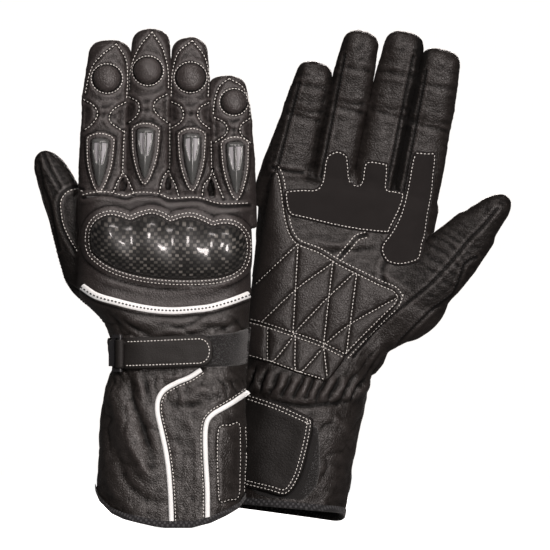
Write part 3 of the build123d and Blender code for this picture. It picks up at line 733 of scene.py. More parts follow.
class Relief:
    """A height drawing over the glove's X and Z."""

    def __init__(self):
        self.heights = np.zeros((GRID_NZ, GRID_NX))
        self.grid_x = GRID_X0 + GRID_STEP * np.arange(GRID_NX)
        self.grid_z = GRID_Z0 + GRID_STEP * np.arange(GRID_NZ)

    def window(self, line, margin):
        """The part of the grid round a line, with the x and z of its points."""
        x0, z0 = np.asarray(line).min(0) - margin
        x1, z1 = np.asarray(line).max(0) + margin
        i0 = max(0, int((x0 - GRID_X0) / GRID_STEP))
        i1 = min(GRID_NX, int((x1 - GRID_X0) / GRID_STEP) + 2)
        k0 = max(0, int((z0 - GRID_Z0) / GRID_STEP))
        k1 = min(GRID_NZ, int((z1 - GRID_Z0) / GRID_STEP) + 2)
        x, z = np.meshgrid(self.grid_x[i0:i1], self.grid_z[k0:k1])
        return (slice(k0, k1), slice(i0, i1)), x, z

    def seam(self, line, depth, width, ridge, closed=False):
        """A narrow groove with a low ridge each side."""
        part, x, z = self.window(line, 6)
        away = line_distance(line, x, z, closed)
        self.heights[part] += (-depth * bell(away, width)
                               + ridge * bell(away - 2.3 * width, 1.3 * width))

    def seams(self, lines, depth, width, ridge, step=1.5):
        for line in lines:
            self.seam(catmull(line, step), depth, width, ridge)

    def folds(self, table):
        """Soft ridges and valleys that fade out at both ends."""
        for height, width, line in table:
            line = catmull(line, 2.0)
            part, x, z = self.window(line, width * 2.6)
            away = line_distance(line, x, z)
            (ax, az), (bx, bz) = line[0], line[-1]
            end = np.minimum(np.hypot(x - ax, z - az), np.hypot(x - bx, z - bz))
            self.heights[part] += height * bell(away, width) * (0.35 + 0.65 * smoothstep(end / 10.0))

    def step(self, line, height, edge, falloff):
        """One panel laid over the next, on the left of a line."""
        part, x, z = self.window(line, falloff + 2)
        away = line_distance(line, x, z)
        sign = np.zeros(x.shape)
        best = np.full(x.shape, 1e9)
        for ax, az, run_x, run_z, apart in segment_distances(line, x, z):
            side = np.sign(run_x * (z - az) - run_z * (x - ax))
            nearer = apart < best
            best[nearer] = apart[nearer]
            sign[nearer] = side[nearer]
        self.heights[part] += (height * smoothstep(away * sign / edge + 0.5)
                               * smoothstep((falloff - away) / falloff))

    def pad(self, outline, height, edge, sewn=()):
        """A raised area with a rounded edge, pulled in at the lines sewn across it."""
        part, x, z = self.window(outline, 2)
        away = line_distance(outline, x, z, True)
        for line in sewn:
            away = np.minimum(away, line_distance(line, x, z))
        self.heights[part] += height * np.where(inside(outline, x, z), rounded(away / edge), 0)

    def dome(self, centre_x, centre_z, radius, height):
        """A round pad with a groove and a low ridge round it."""
        corners = [[centre_x - radius, centre_z - radius], [centre_x + radius, centre_z + radius]]
        part, x, z = self.window(corners, 5)
        away = np.sqrt((x - centre_x) ** 2 + (z - centre_z) ** 2)
        self.heights[part] += (height * np.sqrt(np.clip(1 - (away / radius) ** 2, 0, 1))
                               - 0.75 * bell(away - radius - 0.5, 0.8)
                               + 0.5 * bell(away - radius - 2.6, 1.2))

    def sample(self, x, z):
        column = np.clip((x - GRID_X0) / GRID_STEP, 0, GRID_NX - 1.001)
        row = np.clip((z - GRID_Z0) / GRID_STEP, 0, GRID_NZ - 1.001)
        i, k = column.astype(int), row.astype(int)
        u, v = column - i, row - k
        h = self.heights
        return (h[k, i] * (1 - u) * (1 - v) + h[k, i + 1] * u * (1 - v)
                + h[k + 1, i] * (1 - u) * v + h[k + 1, i + 1] * u * v)


def shield_outline(finger, grow=0.0):
    """Shield outline, pointed at its foot."""
    centre_x, foot, top = SHIELDS[finger]
    height = top - foot
    half = [(0, -grow * 1.1), (1.1 + grow * 0.6, height * 0.05 - grow * 0.4),
            (3.0 + grow * 0.95, height * 0.28), (4.5 + grow, height * 0.55),
            (5.05 + grow, height * 0.84), (4.9 + grow, height * 0.955 + grow * 0.6),
            (2.8, height + grow)]
    points = half + [(-x, z) for x, z in half[::-1]][:-1]
    axis = stall_axis("a", finger)
    lean = math.atan2(axis.dir_low[0], axis.dir_low[2])
    return np.array([(centre_x + x * math.cos(lean) + z * math.sin(lean),
                      foot - x * math.sin(lean) + z * math.cos(lean)) for x, z in points])


def guard_line(grow):
    """The guard's outline, which runs clockwise, grown outwards."""
    line = catmull(GUARD, 1.2, closed=True)
    return line + grow * left_normals(line, True)


def side_line(key, finger, side):
    """The long seam beside a stall on its palm side."""
    axis = stall_axis(key, finger)
    points = []
    for s in np.arange(8.0, axis.low + axis.high - 13.0, 3.0):
        point, across, _ = stall_point(axis, s)
        point = point + across * side * (axis.half_width - 4.6)
        points.append((point[0], point[2]))
    return np.array(points)


def draw_back(key):
    relief = Relief()
    relief.seams([KNUCKLE_SEAM], depth=0.9, width=1.0, ridge=0.5)
    relief.seams(TIP_SEAMS, depth=0.55, width=0.9, ridge=0.3)
    for points in FINGER_SIDE_ARCS:
        arc = catmull(points, 1.0)
        relief.pad(arc, height=-0.9, edge=2.0)
        relief.seam(arc, depth=0.6, width=0.9, ridge=0.45)
    relief.seams(WEB_SEAMS, depth=0.6, width=1.0, ridge=0.35)
    for points in WEB_HOLLOWS:
        hollow = catmull(points, 0.8, closed=True)
        relief.pad(hollow, height=-2.2, edge=1.6)
        relief.seam(hollow, depth=-1.1, width=1.0, ridge=0.0, closed=True)
    for dome in DOMES.values():
        relief.dome(*dome, height=4.6)
    for finger in FINGERS:
        # two creases across the joint: height above it, depth, slope
        x, _, z = stall_axis(key, finger).joint
        half = 5.6 if finger != "little" else 4.8
        for rise, depth, slope in ((4.5, 0.25, 0.8), (-1.0, 0.35, -0.6)):
            crease = np.array([(x - half, z + rise - slope), (x, z + rise + 0.3),
                               (x + half, z + rise + slope)])
            relief.seam(crease, depth, width=1.3, ridge=0.35)
        relief.pad(shield_outline(finger, 4.4), height=1.7, edge=3.0)
        relief.seam(shield_outline(finger, 3.0), depth=0.35, width=0.8, ridge=0.0, closed=True)
        relief.seam(shield_outline(finger, 0.5), depth=0.6, width=0.8, ridge=0.1, closed=True)
    # the leather swells up towards the guard
    relief.pad(guard_line(7.0), height=2.0, edge=6.5)
    relief.seam(guard_line(0.8), depth=0.6, width=0.9, ridge=0.3, closed=True)
    relief.seam(guard_line(2.9), depth=0.25, width=1.4, ridge=0.2, closed=True)
    relief.folds(HAND_FOLDS)
    relief.seams([HAND_PIPING], depth=0.9, width=3.2, ridge=0.0, step=2)
    # lower edge of the hand panel, under the piping
    panel_edge = [(x, z - 3.0) for x, z in HAND_PIPING]
    relief.step(catmull(panel_edge, 2), height=1.6, edge=1.4, falloff=12)
    relief.folds(WRIST_FOLDS)
    relief.seams([CUFF_PIPING_LEFT, CUFF_PIPING_RIGHT], depth=0.7, width=2.4, ridge=0.3)
    relief.folds(CUFF_FOLDS)
    cuff_frame = catmull(CUFF_FRAME, 1.0, closed=True)
    relief.pad(cuff_frame, height=0.7, edge=1.4)
    relief.seam(cuff_frame, depth=0.4, width=0.9, ridge=0.1, closed=True)
    relief.seams([THUMB_PATCH], depth=0.5, width=0.9, ridge=0.3, step=1.0)
    relief.seams([THUMB_BACK_SEAM], depth=0.8, width=0.9, ridge=0.3, step=1.0)
    relief.seams([THUMB_EDGE_SEAM], depth=0.6, width=0.9, ridge=0.3, step=1.0)
    return relief


def draw_heel():
    """The heel panel: full between its sewn lines, pulled in at them."""
    relief = Relief()
    quilting = [catmull(line, 2) for line in HEEL_QUILTING + [HEEL_CROSS_SEAM]]
    edge_line = catmull([(24.4, 166.5), (36, 186), (44, 205)], 2)
    relief.pad(HEEL, height=2.5, edge=8.0, sewn=quilting + [edge_line])
    for line in quilting:
        relief.seam(line, depth=0.5, width=0.9, ridge=0.0)
    return relief


def draw_palm(key):
    relief = Relief()
    for finger, side in SIDE_PANELS:
        relief.seam(side_line(key, finger, side), depth=0.6, width=0.8, ridge=0.3)
    for finger in FINGERS:
        axis = stall_axis(key, finger)
        x, _, z = axis.joint
        half = axis.half_width * 0.8
        # creases across the finger: height above the joint, depth, slope
        for rise, depth, slope in ((2.0, 0.35, 0.9), (-1.6, 0.5, -0.4), (24, 0.3, 0.5)):
            if finger == "little" and rise > 10:
                rise -= 6
            crease = np.array([(x - half, z + rise + slope), (x - half * 0.3, z + rise - 0.3),
                               (x + half * 0.4, z + rise + 0.2), (x + half, z + rise - slope)])
            relief.seam(crease, depth, width=1.5, ridge=0.25)
        if finger == "little":
            x, _, z = axis.root
            relief.seam(np.array([(x - half, z + 10), (x, z + 9.3), (x + half, z + 9.8)]),
                        depth=0.7, width=1.0, ridge=0.5)
        # a small pull near the fingertip
        x, _, z = axis.joint + axis.dir_high * (axis.high - 10)
        relief.folds([(-0.6, 1.6, [(x - 3, z + 3), (x + 1, z - 3)]),
                      (0.5, 2.0, [(x + 4, z + 4), (x + 5, z - 4)])])
    relief.seams([[(-31, 181), (-33, 172), (-30, 160), (-36, 148)]],
                 depth=0.45, width=1.4, ridge=0.4, step=2)
    relief.seams([THUMB_SEAM], depth=0.9, width=0.9, ridge=0.2, step=2)
    relief.seams([THUMB_OUTER_SEAM], depth=0.5, width=0.9, ridge=0.3, step=2)
    relief.seams([PALM_DART], depth=0.5, width=1.2, ridge=0.3, step=2)
    relief.folds(PALM_FOLDS)
    return relief


# ------------------------------------------------------------------ cloth
def inflate(parts):
    """Blows a coarse copy of the leather up between its sewn lines by a cloth simulation.

    Returns a search tree of its points and how far each one moved."""
    seams_back = [catmull(KNUCKLE_SEAM, 3), guard_line(3.0)]
    seams_back += [catmull(line, 3) for line in (HAND_PIPING, CUFF_PIPING_LEFT, CUFF_PIPING_RIGHT)]
    seams_back += [np.array(line) for line in FINGER_SIDE_ARCS]
    seams_palm = [catmull(line, 3)
                  for line in (HEEL_TOP, HEEL_THUMB_SIDE, HEEL_CROSS_SEAM, HEEL_LOW, THUMB_SEAM)]
    points, faces = voxel_union(parts, 4.0)
    obj = to_object("tmp_cloth", points, faces.tolist(), 0.001)
    normal_y = vert_normals(points, faces)[:, 1]
    away = np.full(len(points), 99.0)
    for seams, facing in ((seams_back, normal_y < 0.25), (seams_palm, normal_y > -0.25)):
        for line in seams:
            near = line_distance(line, points[:, 0], points[:, 2])
            away[facing] = np.minimum(away[facing], near[facing])
    away = np.minimum(away, np.abs(normal_y) * 14.0 + 1.0)
    # held at the seams and at the cuff's mouth
    pin = np.clip(1.0 - (away - 1.5) / 5.0, 0.0, 1.0)
    pin = np.where(points[:, 2] < 12, 1.0, pin)
    group = obj.vertex_groups.new(name="pin")
    for k in np.nonzero(pin > 0.02)[0]:
        group.add([int(k)], float(pin[k]), "REPLACE")
    cloth = obj.modifiers.new("c", "CLOTH")
    settings = cloth.settings
    settings.quality = 4
    settings.mass = 0.25
    settings.tension_stiffness = 28
    settings.compression_stiffness = 20
    settings.shear_stiffness = 12
    settings.bending_stiffness = 0.6
    settings.use_pressure = True
    settings.uniform_pressure_force = 4.0
    settings.effector_weights.gravity = 0.0
    settings.vertex_group_mass = "pin"
    settings.pin_stiffness = 0.6
    cloth.collision_settings.use_collision = False
    scene = bpy.context.scene
    for number in range(1, 15):
        scene.frame_set(number)
    blown, _ = evaluated_mesh(obj)
    scene.frame_set(1)
    moves = (blown - points * 0.001) * 1000
    lengths = np.linalg.norm(moves, axis=1)
    longest = 1.6
    moves *= (np.minimum(lengths, longest) / np.maximum(lengths, 1e-9))[:, None]
    tree = KDTree(len(points))
    for k, point in enumerate(points):
        tree.insert(point, k)
    tree.balance()
    return tree, moves


def carry(cloth, verts):
    """The simulated moves, read at the points of the fine skin."""
    tree, moves = cloth
    carried = np.zeros_like(verts)
    for k, point in enumerate(verts):
        total, weights = np.zeros(3), 0.0
        for _, index, away in tree.find_n(point, 4):
            weight = 1.0 / (away * away + 1.0)
            total += weight * moves[index]
            weights += weight
        carried[k] = total / weights
    return carried


# ------------------------------------------------------------------ the skin of one glove
def nearness(verts, centre, radii):
    return bell(np.linalg.norm((verts - centre) / np.array(radii), axis=1), 1.0)


def build_skin(key):
    glove = SimpleNamespace(key=key)
    glove.axes = {finger: stall_axis(key, finger) for finger in FINGERS + ["thumb"]}
    body = body_mesh(key)
    full = {finger: rings_mesh(stall_rings(key, finger, -16)) for finger in FINGERS}
    stub = {finger: rings_mesh(stall_rings(key, finger, -16, stop=6.0)) for finger in FINGERS}
    shared = [rings_mesh(stall_rings(key, "thumb", -22))]
    shared += [ellipsoid(centre, radii, 36, 26, lean) for centre, radii, lean in MOUNDS[key]]
    # folded webs between the stalls
    shared += [ellipsoid(centre, (4.2, 7.5, 12.5), 20, 14) for centre in WEB_CENTRES]
    back, palm = draw_back(key), draw_palm(key)
    cloth = None
    cloth = inflate([body] + list(full.values()) + shared)
    # Neighbouring stalls are made in turn, so that each one stays a whole tube down to the web.
    # Each set: the whole stalls, the stubs, and the regions kept from it
    sets = [(("index", "ring"), ("middle", "little"), (0, 1, 2, 5, 6, 9, 10)),
            (("middle", "little"), ("index", "ring"), (3, 4, 7, 8))]
    collected = []
    offset = 0
    for whole, cut, kept in sets:
        parts = [body] + [full[finger] for finger in whole] + [stub[finger] for finger in cut]
        verts, faces = voxel_union(parts + shared, VOXEL)
        edges = edges_of(faces)
        verts = smooth(verts, edges, 6, (0.5, -0.52))
        web = bell(verts[:, 2] - 206, 7.0) * (verts[:, 0] > -58)
        thumb = glove.axes["thumb"]
        thumb_web = nearness(verts, thumb.root + thumb.dir_low * 14, [22, 30, 34.0])
        mound = nearness(verts, np.array([-46, 8, 134.0]), [28, 30, 38.0])
        soft = np.clip(np.maximum(web * 0.6, np.maximum(thumb_web, mound)), 0, 1)
        verts = smooth(verts, edges, 26, mask=soft)
        if cloth is not None:
            verts = verts + carry(cloth, verts)
        verts, wear = wrinkle(glove, verts, vert_normals(verts, faces), edges, back, palm)
        verts = smooth(verts, edges, 1, (0.35,))
        region = regions(glove, verts[faces].mean(1), whole)
        keep = np.isin(region, kept)
        collected.append((verts, vert_normals(verts, faces), smooth(verts, edges, 14), wear,
                          faces[keep] + offset, region[keep]))
        offset += len(verts)
    verts, normals, even, wear, faces, region = (np.concatenate(item) for item in zip(*collected))
    used = np.zeros(len(verts), bool)
    used[faces.ravel()] = True
    faces = (np.cumsum(used) - 1)[faces]
    glove.verts, glove.normals, glove.wear = verts[used], normals[used], wear[used]
    glove.faces, glove.region = faces, region
    glove.tree = search_tree(glove.verts, faces)
    glove.even_tree = search_tree(even[used], faces)
    return glove


def wrinkle(glove, verts, normals, edges, back, palm):
    """Moves the plain skin to the shape of a glove in use, and returns it with how far each point
    stands out; from that the shader paints rubbed paleness, painted highlight and painted shade.
    """
    facing = normals[:, 1]
    on_back = smoothstep((-facing + 0.05) / 0.45)
    on_palm = smoothstep((facing + 0.05) / 0.45)
    x, z = verts[:, 0], verts[:, 2]
    relief = back.sample(x, z) * on_back + palm.sample(x, z) * on_palm
    # side seams, where back and palm panels meet
    relief += -0.45 * bell(facing, 0.085) + 0.22 * bell(np.abs(facing) - 0.2, 0.1)
    # slow swells, stronger on the cuff
    strength = 0.3 + 0.7 * smoothstep((128 - z) / 30.0)
    relief += 0.50 * noise3(verts, 38, 3) * strength
    relief += 0.25 * noise3(verts * [1, 1, 1.6], 15, 5) * strength
    warp = noise3(verts, 42, 11) * 7.0
    # folds gathered at the wrist, running across it
    wrist = bell(z - 121, 9.0) * (0.25 + 0.75 * on_back)
    relief += 0.9 * wrist * pleats(z + 0.22 * x + warp * 0.8, 10.5, power=0.7, level=0.6)
    # slanting folds down the cuff
    cuff = bell(z - 55, 36.0, 4) * 0.85 * (0.4 + 0.6 * smoothstep((12 - x) / 14.0))
    relief += cuff * pleats(x * 0.82 + 0.50 * z + warp * 1.6, 21.0, power=0.65, level=0.62)
    # small folds below the strap
    small = x * 0.95 + 0.30 * z + noise3(verts, 20, 13) * 5.0
    relief += 0.65 * bell(z - 86, 9.0) * on_back * pleats(small, 7.5, power=0.8, level=0.5)
    hem = x + noise3(verts, 16, 17) * 3.0
    relief += 0.35 * bell(z - 12, 8.0) * pleats(hem, 8.0, power=1, level=0.5)
    # elastic gathers across the palm side of the wrist
    rise = z - np.interp(x, [-40, -31, 12, 50], [88.0, 85.5, 78.5, 80.0])
    band = bell(rise, 8.6, 4) * on_palm * smoothstep((x + 46) / 8)
    across = x + 0.30 * rise + noise3(verts, 24, 21) * 1.6
    lens = np.clip(1 - (rise / 10.5) ** 2, 0, 1)
    relief += band * (3.4 * pleats(across, 7.4, power=0.9, level=0.55) * lens + 0.6)
    side = 0.8 * bell(z - 100, 12.0, 4) * bell(x + 34, 8.0)
    relief += side * pleats(z * 0.5 + x + warp * 0.4, 5.2, power=0.8, level=0.5)
    # fine creases of fingers and palm
    finger = smoothstep((z - 196) / 12)
    relief += finger * 0.20 * noise3(verts * [1, 1, 1.4], 9, 31)
    crease = noise3(verts * [0.7, 1, 1.9], 15, 41)
    relief += finger * on_palm * 0.20 * (np.abs(crease) ** 0.6 - 0.5)
    crease = noise3(verts * [0.7, 1, 1.9], 17, 43)
    palm_only = (1 - finger) * on_palm * smoothstep((z - 120) / 20)
    relief += palm_only * 0.35 * (np.abs(crease) ** 0.6 - 0.5)
    # creases that cross the ball of the thumb
    axis = glove.axes["thumb"]
    from_thumb = verts - (axis.root + axis.dir_low * 22)
    away = np.linalg.norm(from_thumb / np.array([16, 40, 22.0]), axis=1)
    fan = pleats(from_thumb @ axis.dir_low + warp * 0.3, 5.5, power=0.7, level=0.5)
    relief += on_palm * np.exp(-(away - 0.4) ** 2 * 3) * 0.5 * fan
    # how far each point stands out from its neighbours; later painted highlight and painted shade as
    # well as rubbed paleness
    wear = np.clip((relief - smooth(relief, edges, 10)) * 1.2, -1, 1)
    return verts + normals * relief[:, None], wear


def skin_under(glove, x, z, side, tree=None):
    """Point and outward normal of the skin at (x, z), looked at from the back or the palm."""
    tree = tree or glove.tree
    point, normal, _, _ = tree.ray_cast(Vector((x, 90.0 * side, z)), Vector((0, -side, 0)))
    if point is None:
        point, normal, _, _ = tree.find_nearest(Vector((x, 6.0 * side, z)))
    return np.array(point), np.array(normal)


# ------------------------------------------------------------------ regions of the skin, and the bodies that carried pieces ride on
REGIONS = ["body"] + [f"{finger}_{part}" for finger in FINGERS + ["thumb"]
                      for part in ("base", "tip")]
BODY_REGION, THUMB_BASE, THUMB_TIP = 0, 9, 10
SPLIT_Z = 199.0
# CAD pieces that the leather of each region stands for
LEATHER_NODES = {k: [name] for k, name in enumerate(REGIONS)}
LEATHER_NODES[BODY_REGION] = ["hand_back", "hand_palm", "cuff_back", "cuff_palm"]


def regions(glove, points, only=None):
    """The region of each point. With only, points high up go to those stalls."""
    x, y, z = points.T
    region = np.zeros(len(points), int)
    best = np.full(len(points), 1e9)
    nearest = np.zeros(len(points), int)
    for k, finger in enumerate(FINGERS):
        axis = glove.axes[finger]
        s = (points - axis.root) @ axis.dir_low
        away = np.abs(x - (axis.root[0] + axis.dir_low[0] * s)) / axis.half_width
        if only is not None and finger not in only:
            away = away + 99.0 * (z > 212.0)
        nearer = away < best
        best[nearer] = away[nearer]
        nearest[nearer] = k
    above = z > SPLIT_Z
    for k, finger in enumerate(FINGERS):
        axis = glove.axes[finger]
        s = (points - axis.root) @ axis.dir_low
        mine = above & (nearest == k)
        region[mine & (s <= axis.low - 20)] = 1 + 2 * k
        region[mine & (s > axis.low - 20)] = 2 + 2 * k
    # the thumb takes what lies nearer its own surface than the body's
    axis = glove.axes["thumb"]
    s = (points - axis.root) @ axis.dir_low
    beside = points - axis.root - s[:, None] * axis.dir_low
    widths = [14, 15.5, 15, 12] if glove.key == "a" else [17, 18.5, 17.5, 12]
    half_width = np.interp(s, [-22, 0, 20, 78], widths)
    from_thumb = np.sqrt(((beside @ axis.x_low) / half_width) ** 2
                         + ((beside @ axis.y_low) / 12.0) ** 2)
    table = np.array(BODY[glove.key])
    centre_x, half_x, half_y = (np.interp(z, table[:, 0], column) for column in table[:, 1:].T)
    from_body = (np.abs((x - centre_x) / half_x) ** 3 + np.abs(y / half_y) ** 3) ** (1 / 3.0)
    closer = np.abs(from_thumb - 1) < np.abs(from_body - 1) * 2.2 + 0.02
    on_thumb = (s > -8) & (from_thumb < 1.45) & closer & (x < -36) & (z < 250)
    by_index = above & (np.abs(x - glove.axes["index"].root[0]) < 13.5) & (from_thumb > 1.0)
    mine = on_thumb & ~by_index
    region[mine & (s <= axis.low - 14)] = THUMB_BASE
    region[mine & (s > axis.low - 14)] = THUMB_TIP
    return region


def bend(obj, region):
    """Bakes an object's transform into its mesh; it is not bent between bodies, and the stall and
    part its region names are not used further.
    """
    if region == BODY_REGION:
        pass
    else:
        finger, part = REGIONS[region].split("_")
    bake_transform(obj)


def add_mesh(glove, name, verts, faces, materials, normals=None, attributes=None,
             material_index=None):
    mesh = bpy.data.meshes.new(name)
    mesh.from_pydata(place(verts, glove.key).tolist(), [],
                     [tuple(int(i) for i in face) for face in faces])
    mesh.polygons.foreach_set("use_smooth", np.ones(len(mesh.polygons), bool))
    for material in materials:
        mesh.materials.append(material)
    if material_index is not None:
        mesh.polygons.foreach_set("material_index", np.asarray(material_index, np.int32))
    for label, values in (attributes or {}).items():
        attribute = mesh.attributes.new(label, "FLOAT_COLOR", "POINT")
        colors = np.ones((len(verts), 4), np.float32)
        colors[:, :3] = values
        attribute.data.foreach_set("color", colors.ravel())
    mesh.update()
    if normals is not None:
        placed = place_dir(normals, glove.key).tolist()
        mesh.normals_split_custom_set_from_vertices([tuple(normal) for normal in placed])
    obj = bpy.data.objects.new(name, mesh)
    bpy.context.scene.collection.objects.link(obj)
    return obj


def add_bent(glove, name, verts, faces, material, normals=None, attributes=None,
             face_region=None, replaces=None):
    """Adds a skin-borne mesh as one piece for each region it lies in."""
    if face_region is None:
        centres = np.array([np.mean(verts[list(face)], axis=0) for face in faces])
        face_region = regions(glove, centres)
    present = np.unique(face_region)
    for region in present:
        chosen = np.nonzero(face_region == region)[0]
        if len(chosen) < 3:
            continue
        chosen = [faces[i] for i in chosen]
        used = np.unique(np.concatenate([np.array(face) for face in chosen]))
        index = -np.ones(len(verts), int)
        index[used] = np.arange(len(used))
        full_name = f"glove_{glove.key}_{name}"
        if len(present) > 1 or region:
            full_name += "_" + REGIONS[region]
        obj = add_mesh(glove, full_name, verts[used],
                       [tuple(index[i] for i in face) for face in chosen], [material],
                       None if normals is None else normals[used],
                       {label: values[used] for label, values in (attributes or {}).items()})
        bend(obj, region)
        if replaces and region in replaces:
            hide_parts(*[f"glove_{glove.key}_{node}" for node in replaces[region]])


def add_carried(glove, name, verts, faces, material, slot, body, replaces=None, attributes=None,
                material_index=None):
    """Adds a mesh that rides on one body. material may be a list."""
    materials = material if isinstance(material, list) else [material]
    obj = add_mesh(glove, f"glove_{glove.key}_{name}", verts, faces, materials,
                   attributes=attributes, material_index=material_index)
    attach(obj, f"glove_{glove.key}_{body}")
    if replaces:
        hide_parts(f"glove_{glove.key}_{replaces}")


# ------------------------------------------------------------------ sewn-on sheets and bands
def fill_outline(outline, step):
    """Triangles over an outline on an even grid, with each point's distance to the edge."""
    edge = resample(outline, step, closed=True)
    x0, z0 = edge.min(0)
    x1, z1 = edge.max(0)
    columns = np.arange(x0, x1 + step, step)
    grid = []
    for k, z in enumerate(np.arange(z0, z1 + step, step * 0.866)):
        grid += [(x + (step / 2 if k % 2 else 0), z) for x in columns]
    grid = np.array(grid)
    away = line_distance(edge, grid[:, 0], grid[:, 1], True)
    grid = grid[inside(edge, grid[:, 0], grid[:, 1]) & (away > step * 0.55)]
    count = len(edge)
    sides = [(i, (i + 1) % count) for i in range(count)]
    filled = delaunay_2d_cdt([Vector(point) for point in np.vstack([edge, grid])],
                             sides, [], 1, 1e-5)
    flat = np.array([list(point) for point in filled[0]])
    faces = [tuple(face) for face in filled[2]]
    return flat, faces, line_distance(edge, flat[:, 0], flat[:, 1], True)


def sheet_on(glove, outline, side, lift, thick, step, edge=0.8, height=None, under=1.2):
    """A sheet laid on the skin: its top, its rounded edge, and a rim going down to the skin.

    height(x, z, distance to the edge) adds to the top; under is how far the rim goes below lift."""
    flat, faces, away = fill_outline(outline, step)
    base, normals = [], []
    for x, z in flat:
        point, normal = skin_under(glove, x, z, side, glove.even_tree)
        base.append((x, point[1], z))
        normals.append(normal)
    base, normals = np.array(base), np.array(normals)
    normals = normals / np.maximum(np.linalg.norm(normals, axis=1), 1e-9)[:, None]
    rise = lift + thick * (0.25 + 0.75 * rounded(away / edge))
    if height is not None:
        rise = rise + height(flat[:, 0], flat[:, 1], away)
    top = base + normals * rise[:, None]
    # sides that only one face uses; a dict keeps their order
    sides = {}
    for face in faces:
        for i in range(len(face)):
            sides[face[i], face[(i + 1) % len(face)]] = True
    rim = [(a, b) for (a, b) in sides if (b, a) not in sides]
    first, second, third = faces[len(faces) // 2][:3]
    outward = np.cross(top[second] - top[first], top[third] - top[first])
    flip = outward @ normals[first] < 0
    if flip:
        faces = flipped(faces)
    verts = list(top)
    down = {}
    for pair in rim:
        for i in pair:
            if i not in down:
                down[i] = len(verts)
                verts.append(base[i] + normals[i] * (lift - under))
    for a, b in rim:
        faces.append((a, b, down[b], down[a]) if flip else (b, a, down[a], down[b]))
    return np.array(verts), faces


def ribbon_on(glove, line, side, width, across=7):
    """A rounded band lying on the skin along a line."""
    lift, height = 0.1, 0.9
    line = resample(catmull(line, 1.0), 1.0)
    rows = []
    for i in range(len(line)):
        run = line[min(i + 1, len(line) - 1)] - line[max(i - 1, 0)]
        run /= np.linalg.norm(run)
        sideways = np.array([-run[1], run[0]])
        tops, feet = [], []
        for t in np.linspace(-1, 1, across):
            x, z = line[i] + sideways * t * width / 2
            point, normal = skin_under(glove, x, z, side, glove.even_tree)
            base = np.array([x, point[1], z])
            rise = lift + height * math.sqrt(max(0.0, 1 - abs(t) ** 2.6))
            tops.append(base + normal * rise)
            feet.append(base - normal * 1.0)
        rows.append(np.array([feet[0]] + tops + [feet[-1]]))
    verts, faces = rings_mesh(rows, False, False, closed=False)
    first, second, third = faces[len(faces) // 2][:3]
    outward = np.cross(verts[second] - verts[first], verts[third] - verts[first])
    if outward[1] * side < 0:
        faces = flipped(faces)
    return verts, faces


# ------------------------------------------------------------------ stitches
def capsule(count=6):
    """One stitch along X, of unit length and radius."""
    # stations between the two end points: x, radius
    profile = [(-0.46, 0.55), (-0.3, 0.95), (0.3, 0.95), (0.46, 0.55)]
    verts = [(-0.5, 0, 0)]
    for x, radius in profile:
        for k in range(count):
            turn = 2 * math.pi * k / count
            verts.append((x, radius * math.cos(turn), radius * math.sin(turn)))
    verts.append((0.5, 0, 0))
    faces = [(0, 1 + (k + 1) % count, 1 + k) for k in range(count)]
    for i in range(len(profile) - 1):
        for k in range(count):
            a = 1 + i * count + k
            b = 1 + i * count + (k + 1) % count
            faces.append((a, b, b + count, a + count))
    last = len(verts) - 1
    ring = 1 + (len(profile) - 1) * count
    faces += [(ring + k, ring + (k + 1) % count, last) for k in range(count)]
    return np.array(verts), faces


CAPSULE = capsule()


def stitch_line(glove, line, side, pitch=2.25, closed=False, curved=True, tree=None, lift=0.12):
    """The centre, direction, normal and length of each stitch along a line."""
    line = catmull(line, 1.0, closed) if curved else np.asarray(line, float)
    line = resample(line, pitch / 2, closed)
    stitches = []
    for k in range(0, len(line) - 1, 2):
        start, start_normal = skin_under(glove, *line[k], side, tree)
        end, end_normal = skin_under(glove, *line[k + 1], side, tree)
        run = end - start
        length = np.linalg.norm(run)
        if 0.15 < length < pitch * 3:
            normal = unit(start_normal + end_normal)
            stitches.append(((start + end) / 2 + normal * lift, run / length, normal,
                             max(1.3, length * 1.14)))
    return stitches


def stitches_mesh(stitches, radius):
    """Vertices and faces of the stitches, and the stitch centre for each face."""
    shape, shape_faces = CAPSULE
    parts, centres = [], []
    for centre, along, normal, length in stitches:
        across = unit(np.cross(normal, along))
        up = np.cross(along, across)
        parts.append((centre + shape[:, :1] * along * length
                      + shape[:, 1:2] * across * radius * 1.25 + shape[:, 2:] * up * radius,
                      shape_faces))
        centres += [centre] * len(shape_faces)
    verts, faces = join_meshes(parts)
    return verts, faces, np.array(centres)


def add_carried_stitches(glove, name, stitches, radius, slot, body):
    verts, faces, _ = stitches_mesh(stitches, radius)
    add_carried(glove, name, verts, faces, MATERIALS["thread"], slot, body)


